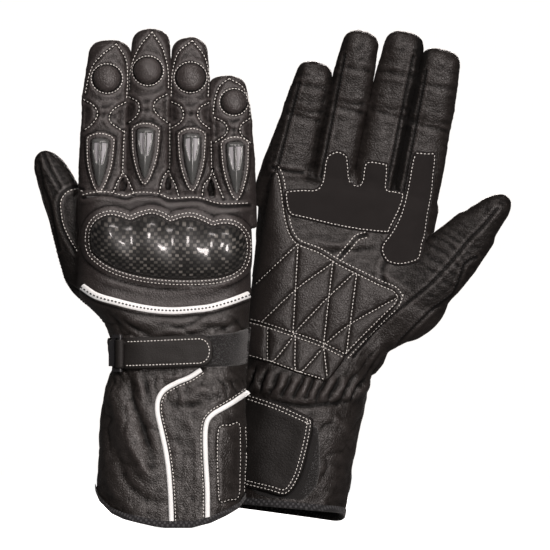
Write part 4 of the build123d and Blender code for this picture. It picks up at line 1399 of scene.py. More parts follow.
# ------------------------------------------------------------------ shader tools
class Nodes:
    """Short calls for adding nodes to a tree. Values may be numbers, colours or sockets."""

    def __init__(self, tree):
        self.tree = tree

    def node(self, kind, **settings):
        node = self.tree.nodes.new("ShaderNode" + kind)
        for label, value in settings.items():
            setattr(node, label, value)
        return node

    def feed(self, socket, value):
        if isinstance(value, bpy.types.NodeSocket):
            self.tree.links.new(value, socket)
        elif isinstance(value, tuple):
            socket.default_value = (*value, 1)
        else:
            socket.default_value = value

    def math(self, operation, first, second=None, clamp=False):
        node = self.node("Math", operation=operation, use_clamp=clamp)
        self.feed(node.inputs[0], first)
        if second is not None:
            self.feed(node.inputs[1], second)
        return node.outputs[0]

    def add(self, first, second):
        return self.math("ADD", first, second)

    def sub(self, first, second, clamp=False):
        return self.math("SUBTRACT", first, second, clamp)

    def mul(self, first, second, clamp=False):
        return self.math("MULTIPLY", first, second, clamp)

    def sine(self, value):
        return self.math("SINE", value)

    def stretch(self, vector, scale):
        node = self.node("Mapping")
        node.inputs["Scale"].default_value = scale
        self.feed(node.inputs["Vector"], vector)
        return node.outputs[0]

    def coords(self, scale=1000.0):
        """Object coordinates, in millimetres unless a scale is given."""
        return self.stretch(self.node("TexCoord").outputs["Object"], (scale, scale, scale))

    def split(self, vector):
        node = self.node("SeparateXYZ")
        self.feed(node.inputs[0], vector)
        return node.outputs

    def noise(self, vector, scale, detail=4, roughness=0.55, distortion=0.0):
        node = self.node("TexNoise")
        self.feed(node.inputs["Vector"], vector)
        node.inputs["Scale"].default_value = scale
        node.inputs["Detail"].default_value = detail
        node.inputs["Roughness"].default_value = roughness
        node.inputs["Distortion"].default_value = distortion
        return node.outputs[0]

    def voronoi(self, vector, scale, feature):
        node = self.node("TexVoronoi", feature=feature)
        self.feed(node.inputs["Vector"], vector)
        node.inputs["Scale"].default_value = scale
        return node.outputs["Distance"]

    def ramp(self, value, low, high):
        """0 up to low, 1 from high on."""
        node = self.node("ValToRGB")
        self.feed(node.inputs[0], value)
        node.color_ramp.elements[0].position = low
        node.color_ramp.elements[1].position = high
        return node.outputs[0]

    def mix(self, share, first, second, kind, slots, output):
        node = self.node("Mix", data_type=kind)
        for slot, value in zip((0, *slots), (share, first, second)):
            self.feed(node.inputs[slot], value)
        return node.outputs[output]

    def mix_color(self, share, first, second):
        return self.mix(share, first, second, "RGBA", (6, 7), 2)

    def mix_value(self, share, first, second):
        return self.mix(share, first, second, "FLOAT", (2, 3), 0)

    def bump(self, height, strength, distance, normal=None):
        node = self.node("Bump")
        node.inputs["Strength"].default_value = strength
        node.inputs["Distance"].default_value = distance
        self.feed(node.inputs["Height"], height)
        if normal is not None:
            self.feed(node.inputs["Normal"], normal)
        return node.outputs[0]


class Surface(Nodes):
    """A new material with a Principled surface."""

    def __init__(self, name):
        self.material = bpy.data.materials.new(name)
        self.material.use_nodes = True
        super().__init__(self.material.node_tree)
        self.tree.nodes.clear()
        output = self.node("OutputMaterial")
        self.principled = self.node("BsdfPrincipled")
        self.feed(output.inputs[0], self.principled.outputs[0])

    def set(self, inputs):
        for label, value in inputs.items():
            self.feed(self.principled.inputs[label], value)


def shade(color, factor):
    return tuple(part * factor for part in color)


# ------------------------------------------------------------------ materials
def leather(name, color_low, color_high, rough, grain, depth, specular, wear=None):
    """Grained leather: cells and pores in the bump, uneven dye.

    rough is the range of roughness, grain the size of its cells in mm, depth that of the bump
    in m. With the last argument it also follows the skin's zone attribute: paler where raised,
    partly rubbed and partly painted highlight, and painted shade in the hollows."""
    mat = Surface(name)
    coords = mat.coords()
    dye = mat.ramp(mat.noise(coords, scale=0.035), low=0.32, high=0.68)
    patches = mat.noise(coords, scale=0.18, detail=5, roughness=0.6)
    cells = mat.voronoi(coords, 1.0 / grain, "F1")
    cracks = mat.voronoi(coords, 0.62 / grain, "DISTANCE_TO_EDGE")
    pores = mat.noise(coords, scale=2.6, detail=3, roughness=0.7)
    crease = mat.noise(coords, scale=0.10, detail=7, roughness=0.5, distortion=0.9)
    crease = mat.mul(mat.math("ABSOLUTE", mat.sub(crease, 0.5)), 9.0, clamp=True)
    edge = mat.mul(cracks, 4.5, clamp=True)
    grain_height = mat.add(mat.mul(edge, 0.8), mat.mul(pores, 0.35))
    grain_height = mat.sub(grain_height, mat.mul(cells, 0.35))
    normal = mat.bump(grain_height, strength=0.75, distance=depth * 1.2)
    normal = mat.bump(mat.mul(crease, 1.0), strength=0.16, distance=depth * 2.4, normal=normal)
    color = mat.mix_color(dye, color_low, color_high)
    # darker in the cracks
    color = mat.mix_color(mat.mul(mat.sub(1.0, edge), 0.35), color, shade(color_low, 0.55))
    roughness = mat.mix_value(patches, *rough)
    mat.set({"Specular IOR Level": specular, "Sheen Roughness": 0.4, "Normal": normal})
    if wear is not None:
        color, roughness = add_zones(mat, color, roughness, color_low, dye, patches, specular, wear)
    mat.set({"Base Color": color, "Roughness": roughness})
    return mat.material


def add_zones(mat, color, roughness, color_low, dye, patches, specular, wear):
    """Zone red: how far into the cuff. Green: onto the palm. Blue: raised, 0.5 is level; it also
    carries painted highlight and painted shade.
    """
    zone = mat.node("SeparateColor")
    mat.feed(zone.inputs[0], mat.node("Attribute", attribute_name="zone").outputs["Color"])
    cuff, palm, raised = (zone.outputs[i] for i in range(3))
    cuff_color = mat.mix_color(dye, (0.0128, 0.0104, 0.0092), (0.0178, 0.0148, 0.0132))
    color = mat.mix_color(cuff, color, cuff_color)
    color = mat.mix_color(mat.mul(palm, 0.92), color, (0.0128, 0.0104, 0.0093))
    palm_rough = mat.mix_value(patches, 0.36, 0.50)
    cuff_rough = mat.mix_value(patches, 0.34, 0.52)
    roughness = mat.mix_value(palm, mat.mix_value(cuff, roughness, cuff_rough), palm_rough)
    above = mat.sub(raised, 0.5)
    # paler where it stands out, partly rubbed leather and partly painted highlight; black and dull
    # in the hollows, which is painted shade
    rubbed_and_highlit = mat.mul(mat.mul(above, 2.0 * wear, clamp=True), mat.add(0.35, patches))
    color = mat.mix_color(rubbed_and_highlit, color, tuple(part * 2.1 + 0.010 for part in color_low))
    # painted shade: black in the hollows and creases
    painted_crease_shade = mat.mul(mat.mul(above, -2.4, clamp=True), 0.85)
    color = mat.mix_color(painted_crease_shade, color, (0.006, 0.006, 0.006))
    gloss = mat.add(1.0, mat.mul(above, 2.2))
    gloss = mat.math("MINIMUM", mat.math("MAXIMUM", gloss, 0.22), 1.2)
    gloss = mat.mul(gloss, mat.mix_value(palm, 1.0, 0.76))
    mat.set({"Specular IOR Level": mat.mul(gloss, specular)})
    return color, roughness


def suede(name, color):
    mat = Surface(name)
    coords = mat.coords()
    nap = mat.noise(coords, scale=3.4, detail=5, roughness=0.75)
    patches = mat.noise(coords, scale=0.09, detail=4, roughness=0.6)
    streaks = mat.noise(mat.stretch(coords, (0.5, 0.5, 2.0)), scale=1.4, detail=4, roughness=0.7)
    base = mat.mix_color(patches, shade(color, 0.72), shade(color, 1.25))
    height = mat.add(nap, mat.mul(streaks, 0.6))
    mat.set({"Base Color": mat.mix_color(mat.mul(nap, 0.5), base, shade(color, 1.7)),
             "Roughness": 0.93, "Specular IOR Level": 0.08,
             "Sheen Weight": 0.10, "Sheen Roughness": 0.35,
             "Normal": mat.bump(height, strength=0.7, distance=0.00022)})
    return mat.material


def carbon(name, cell=2.2):
    """Woven yarns under a clear coat; cell is a yarn's width in mm."""
    mat = Surface(name)
    weave = mat.node("Attribute", attribute_name="weave").outputs["Vector"]
    split = mat.split(weave)
    # yarn counts both ways, whole yarns, and the place within a yarn
    counts = [mat.math("DIVIDE", split[i], cell) for i in (0, 1)]
    wholes = [mat.math("FLOOR", count) for count in counts]
    over = mat.math("FLOORED_MODULO", mat.add(*wholes), 2.0)
    over = mat.math("LESS_THAN", over, 0.5)

    def crown(count, whole):
        """A rounded yarn: 1 along its middle, 0 at its edges."""
        off = mat.sub(mat.mul(mat.sub(count, whole), 2.0), 1.0)
        return mat.sub(1.0, mat.math("POWER", mat.math("ABSOLUTE", off), 2.4))

    yarn = mat.mix_value(over, *[crown(*pair) for pair in zip(counts, wholes)])
    fibres = mat.mix_value(over, *[mat.sine(mat.mul(count, 60.0)) for count in counts])
    bright = mat.add(mat.mul(yarn, 0.75), mat.mul(fibres, 0.08))
    cell_id = mat.node("CombineXYZ")
    for i in (0, 1):
        mat.feed(cell_id.inputs[i], wholes[i])
    random = mat.node("TexWhiteNoise", noise_dimensions="2D")
    mat.feed(random.inputs["Vector"], cell_id.outputs[0])
    light = mat.mix_color(mat.math("POWER", random.outputs["Value"], 1.4),
                          (0.022, 0.021, 0.019), (0.215, 0.203, 0.186))
    patches = mat.noise(weave, scale=0.085, detail=2, roughness=0.5)
    light = mat.mix_color(mat.ramp(patches, low=0.30, high=0.50), (0.040, 0.038, 0.035), light)
    color = mat.mix_color(over, (0.0016, 0.0016, 0.0018), light)
    color = mat.mix_color(mat.sub(1.0, bright, clamp=True), color, (0.003, 0.003, 0.003))
    mat.set({"Base Color": color, "Roughness": mat.mix_value(over, 0.50, 0.36),
             "Normal": mat.bump(bright, strength=0.4, distance=0.00008),
             "Coat Weight": 0.7, "Coat Roughness": 0.09, "Coat IOR": 1.45})
    return mat.material


def plastic(name, color, rough, depth=0.00005, coat=0.0):
    """Moulded plastic with fine scratches along Z; depth is that of the bump in m."""
    mat = Surface(name)
    coords = mat.coords()
    grain = mat.noise(coords, scale=3.0, detail=4, roughness=0.6)
    patches = mat.noise(coords, scale=0.12, detail=4, roughness=0.6)
    scratches = mat.noise(mat.stretch(coords, (2.2, 2.2, 0.12)), scale=1.6, detail=3,
                          roughness=0.8)
    roughness = mat.add(mat.mix_value(patches, rough * 0.8, rough * 1.25),
                        mat.mul(mat.sub(scratches, 0.5), 0.12))
    height = mat.add(grain, mat.mul(scratches, 0.5))
    mat.set({"Base Color": mat.mix_color(patches, shade(color, 0.75), shade(color, 1.3)),
             "Roughness": roughness, "Normal": mat.bump(height, strength=0.35, distance=depth),
             "Coat Weight": coat, "Coat Roughness": 0.06})
    return mat.material


def fabric(name, color, pitch, rough, depth, sheen, tile_color=None, painted_glow=None):
    """Plain weave with uneven yarns; pitch in mm, depth of the bump in m. A glow is painted light:
    emission that makes the fabric brighter than its lamps light it.
    """
    mat = Surface(name)
    coords = mat.coords()
    x, y, z = mat.split(coords)
    rate = 2 * math.pi / pitch
    warp = mat.sine(mat.mul(mat.add(x, mat.mul(y, 0.7)), rate))
    weft = mat.sine(mat.mul(z, rate))
    weave = mat.add(mat.mul(mat.mul(warp, weft), 0.5), 0.5)
    fuzz = mat.noise(coords, scale=1.8, detail=4, roughness=0.7)
    patches = mat.noise(coords, scale=0.08, detail=3)
    share = mat.mul(weave, mat.add(0.4, fuzz), clamp=True)
    base = mat.mix_color(share, shade(color, 0.55), color)
    if tile_color:
        tile_rate = 1.9
        tile = mat.mul(mat.sine(mat.mul(x, tile_rate)), mat.sine(mat.mul(mat.add(z, y), tile_rate)))
        tile = mat.math("GREATER_THAN", tile, 0.25)
        base = mat.mix_color(mat.mul(tile, 0.8), base, tile_color)
    height = mat.add(weave, mat.mul(fuzz, 0.7))
    mat.set({"Base Color": mat.mix_color(mat.mul(patches, 0.4), base, shade(color, 0.7)),
             "Roughness": rough, "Specular IOR Level": 0.3, "Sheen Weight": sheen,
             "Normal": mat.bump(height, strength=0.7, distance=depth)})
    # painted light: the fabric glows brighter than its lamps light it
    if painted_glow is not None:
        mat.set({"Emission Color": (1, 1, 1), "Emission Strength": painted_glow})
    return mat.material


def thread(name, color):
    mat = Surface(name)
    coords = mat.coords()
    x, y, z = mat.split(coords)
    twist = mat.sine(mat.mul(mat.add(x, mat.add(y, z)), 16.0))
    patches = mat.noise(coords, scale=0.35, detail=3)
    base = mat.mix_color(patches, shade(color, 0.72), color)
    share = mat.mul(mat.add(mat.mul(twist, 0.5), 0.5), 0.25)
    mat.set({"Base Color": mat.mix_color(share, base, shade(color, 0.5)), "Roughness": 0.62,
             "Normal": mat.bump(twist, strength=0.4, distance=0.00005)})
    return mat.material


MATERIALS = {
    "skin": leather("glove_leather", (0.0245, 0.0200, 0.0192), (0.0320, 0.0264, 0.0254),
                    rough=(0.38, 0.52), grain=1.05, depth=0.00016, specular=0.46, wear=0.45),
    "flap": leather("flap_leather", (0.0100, 0.0090, 0.0085), (0.0140, 0.0126, 0.0120),
                    rough=(0.46, 0.60), grain=1.2, depth=0.00012, specular=0.14),
    "strap": leather("strap_leather", (0.0120, 0.0106, 0.0100), (0.0165, 0.0148, 0.0140),
                     rough=(0.48, 0.62), grain=0.8, depth=0.00007, specular=0.22),
    "bed": leather("bed_leather", (0.0150, 0.0136, 0.0132), (0.0200, 0.0182, 0.0178),
                   rough=(0.45, 0.58), grain=0.9, depth=0.00010, specular=0.4),
    "suede": suede("palm_suede", (0.0150, 0.0134, 0.0132)),
    "carbon": carbon("guard_weave"),
    "shield": plastic("slider_plastic", (0.070, 0.073, 0.072), rough=0.27, depth=0.00004,
                      coat=0.4),
    "window": fabric("slider_gloss", (0.42, 0.42, 0.44), pitch=0.8, rough=0.28, depth=0.00010,
                     sheen=0.0),
    "ring": plastic("ring_plastic", (0.022, 0.022, 0.024), rough=0.36),
    # the reflective piping glows: painted light in place of its bright reflection
    "piping": fabric("reflective_piping", (0.93, 0.93, 0.92), pitch=0.42, rough=0.42,
                     depth=0.00005, sheen=0.0, painted_glow=0.22),
    "tape": fabric("hook_loop_tape", (0.013, 0.012, 0.012), pitch=1.1, rough=0.95, depth=0.0006,
                   sheen=0.25),
    "fuzz": plastic("hook_fibre", (0.055, 0.055, 0.056), rough=0.45),
    "lining": fabric("cuff_lining", (0.075, 0.072, 0.072), pitch=0.6, rough=0.85, depth=0.00012,
                     sheen=0.2, tile_color=(0.12, 0.12, 0.12)),
    "binding": fabric("hem_binding", (0.018, 0.018, 0.020), pitch=0.5, rough=0.75,
                      depth=0.00012, sheen=0.15, tile_color=(0.085, 0.085, 0.09)),
    "thread": thread("pale_thread", (0.92, 0.90, 0.86)),
    "black_thread": thread("dark_thread", (0.016, 0.016, 0.017)),
}


# ------------------------------------------------------------------ pieces of one glove
def hem_z(key, x, palm):
    """Height of the cuff's edge; palm is 0 on the back and 1 on the palm."""
    stations, back_z, rise = HEM[key]
    return np.interp(x, stations, back_z) + palm * np.interp(x, stations, rise)


def make_leather(glove):
    verts, faces, normals = glove.verts, glove.faces, glove.normals
    x, z = verts[:, 0], verts[:, 2]
    # open the cuff's mouth
    centres = verts[faces].mean(1)
    palm_share = smoothstep(normals[faces].mean(1)[:, 1] * 1.2 + 0.5)
    keep = centres[:, 2] > hem_z(glove.key, centres[:, 0], palm_share) + 0.8
    cuff = smoothstep((133.5 - z + np.interp(x, [-60, 0, 50], [8, 0, 7])) / 6.0)
    palm = smoothstep((normals[:, 1] + 0.12) / 0.3)
    wear = glove.wear.copy()
    # the side panels of the fingers are darker and duller on the palm side
    for finger, side in SIDE_PANELS:
        axis = glove.axes[finger]
        s = (verts - axis.root) @ axis.dir_low
        out = ((verts - axis.root) @ axis.x_low) * side - axis.half_width
        panel = (s > 3) & (out > -5.0) & (out < 4) & (z > 200)
        wear[panel] -= 0.22 * palm[panel]
    on_thumb = np.zeros(len(verts))
    on_thumb[np.unique(faces[np.isin(glove.region, (THUMB_BASE, THUMB_TIP))])] = 1.0
    on_thumb = smooth(on_thumb, edges_of(faces), 8)
    # the thumbs darker and duller: painted shade over their black leather
    wear -= on_thumb * (0.28 if glove.key == "a" else 0.20)
    # fuller places of the cuff and palm, made paler by painted highlight: x, z, reach in x and z,
    # added painted highlight, which side
    for spot_x, spot_z, reach_x, reach_z, amount, share in (
            (-27, 50, 13, 24, 0.22, 1 - palm), (-3, 60, 5, 20, 0.12, 1 - palm),
            (-20, 117, 16, 5, 0.12, 1 - palm), (-26, 45, 10, 26, 0.10, palm)):
        wear += amount * share * bell(x - spot_x, reach_x) * bell(z - spot_z, reach_z)
    cuff = np.maximum(cuff, on_thumb)
    zone = np.stack([cuff * (1 - palm) + palm * smoothstep((112 - z) / 10), palm,
                     np.clip(0.5 + wear, 0, 1)], -1)
    add_bent(glove, "leather", verts, faces[keep].tolist(), MATERIALS["skin"],
             normals, {"zone": zone}, glove.region[keep], LEATHER_NODES)


def make_inner_linings(glove):
    """Inner skins that close the view where the stalls part from the hand."""
    rings = [body_ring(glove.key, z, -1.4, 72) for z in np.arange(112, 206, 3.0)]
    obj = add_mesh(glove, f"glove_{glove.key}_inner_hand", *rings_mesh(rings, False, True),
                   [MATERIALS["lining"]])
    bend(obj, BODY_REGION)
    for k, (finger, axis) in enumerate(glove.axes.items()):
        rings = [ring for ring in stall_rings(glove.key, finger, -12, -1.3, 28, 2.4)
                 if ((ring.mean(0) - axis.root) @ axis.dir_low) < axis.low - 16]
        verts, faces = rings_mesh(rings, True, False)
        zone = np.tile([[0.0, 0.6, 0.5]], (len(verts), 1))
        obj = add_mesh(glove, f"glove_{glove.key}_{finger}_inner", verts, faces,
                       [MATERIALS["skin"]], attributes={"zone": zone})
        bend(obj, 1 + 2 * k)


def make_hem(glove):
    """The bound edge of the cuff's mouth and the lining inside the cuff."""
    count = 160
    key = glove.key
    start = body_ring(key, 8, 0, count)
    edge_z = hem_z(key, start[:, 0], smoothstep(start[:, 1] / 40.0 + 0.5))

    def ring_at(heights, grow):
        return np.array([body_ring(key, heights[i], grow, count)[i] for i in range(count)])

    # over the edge: height above it, growth from the skin
    profile = ((1.4, 0.9), (0.4, 0.75), (-0.2, 0.1), (-0.45, -0.9), (-0.35, -1.9), (0.3, -2.7),
               (1.6, -3.1), (4.0, -3.2), (7.0, -3.2))
    rows = [ring_at(edge_z + rise, grow) for rise, grow in profile]
    verts, faces = rings_mesh([rows[0] + np.array([0, 0, 2.6])] + rows, False, False)
    add_carried(glove, "hem_edge", verts, flipped(faces), MATERIALS["binding"], "hem_binding",
                "cuff", "cuff_hem")
    ring = body_ring(key, 20, 0, count)
    angle = np.arctan2(ring[:, 1], ring[:, 0] - ring[:, 0].mean())
    outward = np.stack([np.cos(angle), np.sin(angle), 0 * angle], -1)
    rows = [ring_at(edge_z + 5.5 + (104 - edge_z) * t, -3.3) for t in np.linspace(0, 1, 30)]
    rows = [row + 0.35 * outward * noise3(row, 14, 77)[:, None] for row in rows]
    verts, faces = rings_mesh(rows, False, False)
    add_carried(glove, "cuff_lining", verts, flipped(faces), MATERIALS["lining"], "hem_binding",
                "cuff")


def make_piping(glove):
    verts, faces = ribbon_on(glove, HAND_PIPING, BACK, width=4.4, across=9)
    add_bent(glove, "hand_piping", verts, faces, MATERIALS["piping"],
             face_region=np.zeros(len(faces), int), replaces={BODY_REGION: ["hand_piping"]})
    bands = [ribbon_on(glove, line, BACK, width=2.9)
             for line in (CUFF_PIPING_LEFT, CUFF_PIPING_RIGHT)]
    add_carried(glove, "cuff_piping_bands", *join_meshes(bands), MATERIALS["piping"],
                "reflective_piping", "cuff", "cuff_piping")


def make_guard(glove):
    """The knuckle guard on its bed."""
    verts, faces = sheet_on(glove, guard_line(1.0), BACK, lift=0.1, thick=1.0, step=1.3, edge=0.9)
    add_carried(glove, "guard_bed", verts, faces, MATERIALS["bed"], "guard_bed", "hand",
                "knuckle_pad")
    # one hump over each knuckle: x, half width
    humps = [(-37.5, 8.0), (-12.6, 8.6), (12.0, 8.4), (33.5, 7.2)]

    def height(x, z, away):
        base = 7.4 * (1 - np.exp(-away / 4.6))
        hump = np.zeros_like(x)
        for hump_x, half in humps:
            hump = np.maximum(hump, np.exp(-np.abs((x - hump_x) / half) ** 2.2 * 0.9))
        hump = hump * smoothstep((z - 157) / 15.0)
        return base * (0.78 + 0.30 * hump) - 0.3 * bell(away - 1.5, 0.6)

    verts, faces = sheet_on(glove, guard_line(-0.1), BACK, lift=1.0, thick=1.3,
                            step=0.85, edge=1.0, height=height)
    weave = np.zeros((len(verts), 3))
    weave[:, 0] = verts[:, 0]
    weave[:, 1] = verts[:, 2] - 0.35 * verts[:, 1]
    add_carried(glove, "guard_shell", verts, faces, MATERIALS["carbon"], "carbon_shell", "hand",
                "knuckle_guard", {"weave": weave})


def make_shield(glove, finger):
    """A finger's shield with a ridge down its middle and two sunk windows."""
    centre_x, foot, top = SHIELDS[finger]
    length = top - foot
    axis = glove.axes[finger]
    lean = math.atan2(axis.dir_low[0], axis.dir_low[2])

    def local(x, z):
        """Distance from the middle line, and the share of the way up."""
        x, z = x - centre_x, z - foot
        return (np.abs(x * math.cos(lean) - z * math.sin(lean)),
                (x * math.sin(lean) + z * math.cos(lean)) / length)

    def window(off, up):
        """How far inside a window a place lies."""
        width = 0.75 + 3.0 * np.clip((up - 0.44) / 0.34, 0, 1) ** 0.7
        ends = np.minimum((0.92 - up) * length, (up - 0.44) * length * 0.4)
        return np.minimum(np.minimum(off - 0.75, width - off), ends)

    def height(x, z, away):
        off, up = local(x, z)
        body = 3.2 * (1 - np.exp(-away / 1.5)) * (0.60 + 0.40 * smoothstep(up * 1.3))
        ridge = (0.55 * bell(off, 0.9) * smoothstep((up - 0.06) / 0.2)
                 * smoothstep((0.99 - up) / 0.12))
        return body + ridge - 0.85 * smoothstep(window(off, up) / 0.7 + 0.2)

    outline = catmull(shield_outline(finger), 0.8, closed=True)
    verts, faces = sheet_on(glove, outline, BACK, lift=0.5, thick=0.7,
                            step=0.5, edge=0.6, height=height, under=1.6)
    centres = np.array([np.mean(verts[list(face)], axis=0) for face in faces])
    glossy = window(*local(centres[:, 0], centres[:, 2])) > 0.15
    add_carried(glove, finger + "_shield", verts, faces,
                [MATERIALS["shield"], MATERIALS["window"]], "slider_plastic", finger + "_base",
                finger + "_slider", material_index=glossy.astype(int))


def make_palm_patches(glove):
    """The two suede patches and the quilted heel panel."""
    step = 1.0
    outline = catmull(SUEDE_GRIP, 1.0, closed=True)
    verts, faces = sheet_on(glove, outline, PALM, lift=0.15, thick=0.75, step=step, edge=0.7,
                            under=1.0)
    add_bent(glove, "suede_grip", verts, faces, MATERIALS["suede"],
             replaces={BODY_REGION: ["grip_patch"]})
    outline = catmull(SUEDE_STRIP, 1.0, closed=True)
    verts, faces = sheet_on(glove, outline, PALM, lift=0.25, thick=1.0, step=step, edge=0.7)
    add_bent(glove, "suede_strip", verts, faces, MATERIALS["suede"])
    relief = draw_heel()
    verts, faces = sheet_on(glove, resample(HEEL, 1.0, closed=True), PALM, lift=0.1, thick=0.8,
                            step=0.9, edge=0.9,
                            height=lambda x, z, away: relief.sample(x, z), under=1.0)
    zone = np.ones((len(verts), 3))
    zone[:, 0] = smoothstep((112 - verts[:, 2]) / 10)
    # zone blue: painted shade along the sewn hollows, painted highlight on the puffs, and the panel
    # a little darker overall
    zone[:, 2] = np.clip(0.36 + 0.13 * relief.sample(verts[:, 0], verts[:, 2]), 0.2, 0.62)
    add_bent(glove, "heel_panel", verts, faces, MATERIALS["skin"],
             attributes={"zone": zone}, replaces={BODY_REGION: ["heel_pad"]})
    glove.heel_tree = search_tree(verts, faces)


def make_wrist_tape(glove, outline):
    verts, faces = sheet_on(glove, outline, BACK, lift=0.1, thick=0.8,
                            step=1.0, edge=0.6, under=1.0)
    add_carried(glove, "wrist_loop_tape", verts, faces, MATERIALS["tape"], "hook_loop", "cuff",
                "wrist_loop_patch")


# ------------------------------------------------------------------ wrist strap
# the bar of the ring that the strap folds round
RING_X, RING_Y = -32.0, -21.3
# rounded free end of the strap
STRAP_END_X, STRAP_END_RADIUS = 25.4, 7.5
STRAP_ROWS = 17


def wrist_back(glove, x, z, reach):
    """y of the plain body's back at (x, z), and the outward direction there in x and y."""
    ring = body_ring(glove.key, z, 0.0, 200)
    curve = ring[ring[:, 1] < 0]
    curve = curve[np.argsort(curve[:, 0])]
    y, left_y, right_y = np.interp([x, x - reach, x + reach], curve[:, 0], curve[:, 1])
    out_x, out_y = right_y - left_y, -2 * reach
    size = math.hypot(out_x, out_y)
    return y, out_x / size, out_y / size


def strap_section(glove, x):
    """Top and bottom points of the strap at one x, from its lower edge to its upper."""
    low, high = np.interp(x, [-32, 25], [97.4, 99.4]), np.interp(x, [-32, 25], [117.0, 119.6])
    bend_x = STRAP_END_X - STRAP_END_RADIUS
    if x > bend_x:
        draw_in = 1 - math.sqrt(max(0, 1 - ((x - bend_x) / STRAP_END_RADIUS) ** 2))
        low, high = low + draw_in * 9.2, high - draw_in * 9.2
    top, bottom = [], []
    for k in range(STRAP_ROWS):
        t = k / (STRAP_ROWS - 1)
        z = low + (high - low) * t
        edge = min(t, 1 - t) * (high - low)
        y, out_x, out_y = wrist_back(glove, x, z, 1)
        skin, _ = skin_under(glove, x, min(max(z, 100), 118), BACK, glove.even_tree)
        off = max(0.0, (y - skin[1])) + 2.0
        puff = 0.55 * math.sin(math.pi * t) ** 0.6 - 0.25 * math.exp(-((edge - 2.2) / 0.7) ** 2)
        outer = off + (1.9 + puff if edge > 0.01 else 1.2)
        top.append((x + out_x * outer, y + out_y * outer, z))
        bottom.append((x + out_x * off, y + out_y * off, z))
    return np.array(top), np.array(bottom)


def strap_eye(low, high):
    """The folded end of the strap round the ring's bar."""
    z = low + 1.0 + (high - low - 2.0) * np.linspace(0, 1, STRAP_ROWS)
    rows = []
    for turn in np.radians(np.linspace(-20, 255, 16)[::-1]):
        outer, inner = (np.stack([np.full(STRAP_ROWS, RING_X + radius * math.cos(turn)),
                                  np.full(STRAP_ROWS, RING_Y - radius * math.sin(turn)), z], -1)
                        for radius in (3.1, 1.35))
        rows.append(np.concatenate([outer, inner[::-1]]))
    return rings_mesh(rows, True, True)


def make_strap(glove):
    stations = np.concatenate([[RING_X + 3.0], np.arange(-26, 25.8, 1.0)])
    sections = [strap_section(glove, x) for x in stations]
    verts, faces = rings_mesh([np.concatenate([top, bottom[::-1]]) for top, bottom in sections])
    top = np.array([section[0] for section in sections])
    eye = strap_eye(top[0, 0, 2], top[0, -1, 2])
    add_carried(glove, "strap_tongue", *join_meshes([(verts, flipped(faces)), eye]),
                MATERIALS["strap"], "strap_leather", "strap", "wrist_strap")
    make_strap_stitching(glove, top)
    # the CAD piece of the ring stays and gets its finish
    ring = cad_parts[f"glove_{glove.key}_strap_ring"]
    ring.data.materials.clear()
    ring.data.materials.append(MATERIALS["ring"])
    bevel = ring.modifiers.new("edge", "BEVEL")
    bevel.width = 0.0003
    bevel.segments = 2
    bevel.limit_method = "ANGLE"
    make_ring_tab(glove)


def make_strap_stitching(glove, top):
    """One line of stitches along both edges and round the free end."""
    count = len(top)
    quads = [(a * STRAP_ROWS + b, a * STRAP_ROWS + b + 1, (a + 1) * STRAP_ROWS + b + 1,
              (a + 1) * STRAP_ROWS + b) for a in range(count - 1) for b in range(STRAP_ROWS - 1)]
    tree = search_tree(top.reshape(-1, 3), quads)
    path = [top[i, 2] for i in range(1, count - 8)]
    for turn in np.linspace(-90, 90, 15)[1:-1]:
        x = STRAP_END_X - STRAP_END_RADIUS + 5.4 * math.cos(math.radians(turn))
        z = 109.2 + 7.2 * math.sin(math.radians(turn))
        path.append(skin_under(glove, x, z, BACK, tree)[0])
    path += [top[i, STRAP_ROWS - 3] for i in range(count - 9, 0, -1)]
    path = np.array(path)
    reached = np.concatenate([[0], np.cumsum(np.linalg.norm(np.diff(path, axis=0), axis=1))])
    stitches = []
    for s in np.arange(0.4, reached[-1] - 1.2, 2.1):
        start, end = (np.array([np.interp(at, reached, column) for column in path.T])
                      for at in (s, s + 1.1))
        middle = (start + end) / 2
        _, normal = skin_under(glove, middle[0], middle[2], BACK, tree)
        if normal[1] > 0:
            normal = -normal
        if np.linalg.norm(end - start) > 0.3:
            stitches.append((middle + normal * 0.1, unit(end - start), normal, 1.25))
    add_carried_stitches(glove, "strap_stitching", stitches, 0.25, "strap_leather", "strap")


def make_ring_tab(glove):
    """Leather tab that the ring hangs from, wrapped round the side of the wrist."""
    start_x, end_x, count = -38.6, -33.2, 13
    rows = []
    for x in np.linspace(start_x, end_x, 8):
        top = []
        for k in range(count):
            t = k / (count - 1)
            z = 99.6 + 17.6 * t
            y, out_x, out_y = wrist_back(glove, x, z, 0.8)
            rise = (1.0 + 0.9 * math.sqrt(max(0, 1 - abs(2 * t - 1) ** 3))
                    + (x - start_x) / (end_x - start_x) * 1.3)
            top.append((x + out_x * rise, y + out_y * rise, z))
        rows.append(np.array(top + [(px, py + 2.4, pz) for px, py, pz in top[::-1]]))
    verts, faces = rings_mesh(rows)
    add_carried(glove, "ring_tab", verts, flipped(faces), MATERIALS["strap"], "strap_leather",
                "cuff")
    middle = rows[len(rows) // 2][:count]
    stitches = [(middle[k] + np.array([0, -0.1, 0]), unit(middle[k + 1] - middle[k]),
                 np.array([0, -1.0, 0]), 0.8) for k in range(1, count - 1)]
    add_carried_stitches(glove, "ring_tab_stitching", stitches, 0.22, "strap_leather", "cuff")


